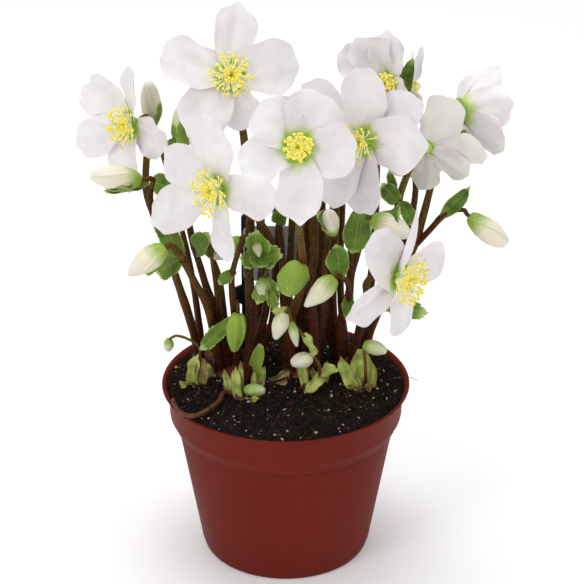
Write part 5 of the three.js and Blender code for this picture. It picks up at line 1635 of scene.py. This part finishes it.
def makeSoil(look):
    addPiece("soilBody", buildMesh("soilBody", [soilPatch(look)], ["peat"]), "peat", "soil")
    lumps, moss = makeScatterTree(lumpShape), makeMossTree(mossShape)
    perSquareMetre = 1e6
    for i, (name, (density, size, patchy, finish)) in enumerate(look["lumps"].items()):
        mesh = grown(name, lumps, scatterGround(name, look["lumpReach"]), {
            "Density": density * perSquareMetre, "Size": size * mm, "Seed": look["seed"] + i,
            "Patchy": patchy, "Finish": finishes[finish],
        })
        addPiece(name, mesh, "peat")
    tufts = grown("soilMoss", moss, scatterGround("soilMoss", look["mossReach"]), {
        "Density": look["moss"] * perSquareMetre, "Length": look["mossLength"] * mm, "Seed": look["seed"],
        "Patchy": look["mossPatchy"], "Finish": finishes["moss"],
    })
    addPiece("soilMoss", tufts, "peat")
    fibres = [(path, 0.4, 0.2, 0.5) for path in fibrePaths(look)]
    fibres.append((look["longFibre"], 0.5, 0.3, 0.5))
    addPiece("soilFibres", stemMesh("soilFibres", fibres, "fibre", 5), "peat")


makeSoil(soilLook)
print("soil filled")


# The nursery pot: a lathe turned wall with drain holes
potShape = {
    "sides": 128,
    "profile": [
        (0, 0.9), (20, 0.9), (21, 0), (48.6, 0), (49.8, 0.5), (50.6, 1.6), (52, 6),  # underside and foot
        (65.5, 82.6), (65.4, 83.3), (65.6, 83.9), (66.6, 84.3), (67.5, 85.0), (68.0, 86.2),  # groove
        (68.3, 88.0), (68.7, 88.7), (69.6, 89.6), (70.2, 90.8), (70.5, 92.4), (71.1, 107.2),  # band
        (71.5, 108.3), (72.6, 109.2), (73.9, 109.7), (74.7, 110.0), (75, 110.4), (74.9, 110.8),  # lip
        (74.4, 111), (73.4, 110.95), (72.7, 110.5), (72.2, 109.6), (71.4, 108.4), (70.2, 106.2),
        (69.0, 93.4), (68.2, 91.9), (65.7, 90.6), (65.5, 89), (50.6, 6), (49.4, 2.6),  # inside
        (47, 1.8), (0, 1.8),
    ],
    "holes": 6, "holeRadius": 5, "holeCircle": 34, "holeFrom": -3, "holeTo": 5,
}


def drainCutters(shape):
    radius, low, high = shape["holeRadius"], shape["holeFrom"], shape["holeTo"]
    profile = [(0, low), (radius, low), (radius, high), (0, high)]
    cutters = []
    for i in range(shape["holes"]):
        turn = i * 2 * math.pi / shape["holes"]
        spot = (shape["holeCircle"] * math.cos(turn), shape["holeCircle"] * math.sin(turn), 0)
        cutters.append(moved(lathePatch(profile, 28), Matrix.Translation(spot)))
    return cutters


def makePot(shape):
    pot = newObject("potWall", buildMesh("potWall", [lathePatch(shape["profile"], shape["sides"])], ["pot"]))
    cutter = newObject("drainCutter", buildMesh("drainCutter", drainCutters(shape), ["pot"]))
    cut = pot.modifiers.new("drainHoles", "BOOLEAN")
    cut.object, cut.operation, cut.solver = cutter, "DIFFERENCE", "EXACT"
    mesh = bpy.data.meshes.new_from_object(pot.evaluated_get(bpy.context.evaluated_depsgraph_get()))
    bpy.data.objects.remove(pot)
    bpy.data.objects.remove(cutter)
    mesh.name = "nurseryPot"
    mesh.set_sharp_from_angle(angle=math.radians(40))
    addPiece("nurseryPot", mesh, "pot_plastic", "pot")


makePot(potShape)


cardStuds = {  # they hold the card on its post
    "x": -24.2, "front": 42.0, "heights": (164, 187), "sides": 24,
    "profile": [(0, 0), (1.2, 0), (1.6, 0.3), (1.6, 0.8), (0.9, 0.8), (0.9, 3), (0, 3)],
}


def makeStuds(shape):
    backwards = Matrix.Rotation(-math.pi / 2, 4, "X")
    patches = []
    for height in shape["heights"]:
        spot = Matrix.Translation((shape["x"], shape["front"], height))
        patches.append(moved(lathePatch(shape["profile"], shape["sides"]), spot @ backwards))
    addPiece("cardStuds", buildMesh("cardStuds", patches, ["holder"]), "dark_plastic")


makeStuds(cardStuds)
for node, finish in (("tag_frame", "holder"), ("tag_card", "card")):
    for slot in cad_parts[node].material_slots:
        slot.material = finishes[finish]
print("pot turned, label holder finished")


# Floor, light and camera, in metres
studio = {
    "floor": (0.98, 0.98, 0.98, 1), "floorGlow": 0.12, "floorReach": 6.0,
    "surround": (1.0, 1.0, 1.0, 1), "surroundLight": 0.58,
    "lamps": {  # place, power, size, all aimed at the plant
        "frontLeft": ((-1.1, -1.3, 1.5), 9, 0.7),
        "frontRight": ((1.3, -0.9, 1.0), 2.5, 0.9),
        "above": ((-0.1, 0.3, 1.7), 11, 0.9),
    },
    "aim": (0.0, 0.0, 0.2),
    "camera": (0.0038, -1.312, 0.8366), "pitch": 26.9, "lens": 152.26,
}


def makeStudio(look):
    floor = newObject("floor", bpy.data.meshes.new("floor"))
    reach = look["floorReach"]
    corners = [(-reach, -reach, 0), (reach, -reach, 0), (reach, reach, 0), (-reach, reach, 0)]
    floor.data.from_pydata(corners, [], [(0, 1, 2, 3)])
    settings = {"Base_Color": look["floor"], "Roughness": 0.9, "Emission_Strength": look["floorGlow"]}
    floor.data.materials.append(newMaterial("paleFloor", **settings)[0])
    world = bpy.data.worlds.new("paleRoom")
    bpy.context.scene.world = world
    world.use_nodes = True
    background = world.node_tree.nodes["Background"]
    background.inputs["Color"].default_value = look["surround"]
    background.inputs["Strength"].default_value = look["surroundLight"]
    for name, (spot, power, size) in look["lamps"].items():
        lamp = bpy.data.lights.new(name, "AREA")
        lamp.energy, lamp.size = power, size
        holder = bpy.data.objects.new(name, lamp)
        holder.location = spot
        holder.rotation_euler = (Vector(look["aim"]) - Vector(spot)).to_track_quat("-Z", "Y").to_euler()
        bpy.context.scene.collection.objects.link(holder)
    camera = bpy.data.objects.new("camera", bpy.data.cameras.new("camera"))
    camera.data.lens, camera.data.sensor_width = look["lens"], 36
    camera.location = look["camera"]
    camera.rotation_euler = Euler((math.radians(90 - look["pitch"]), 0, 0))
    bpy.context.scene.collection.objects.link(camera)
    bpy.context.scene.camera = camera
    bpy.context.scene.view_settings.view_transform = "Standard"


makeStudio(studio)
print("studio lit")
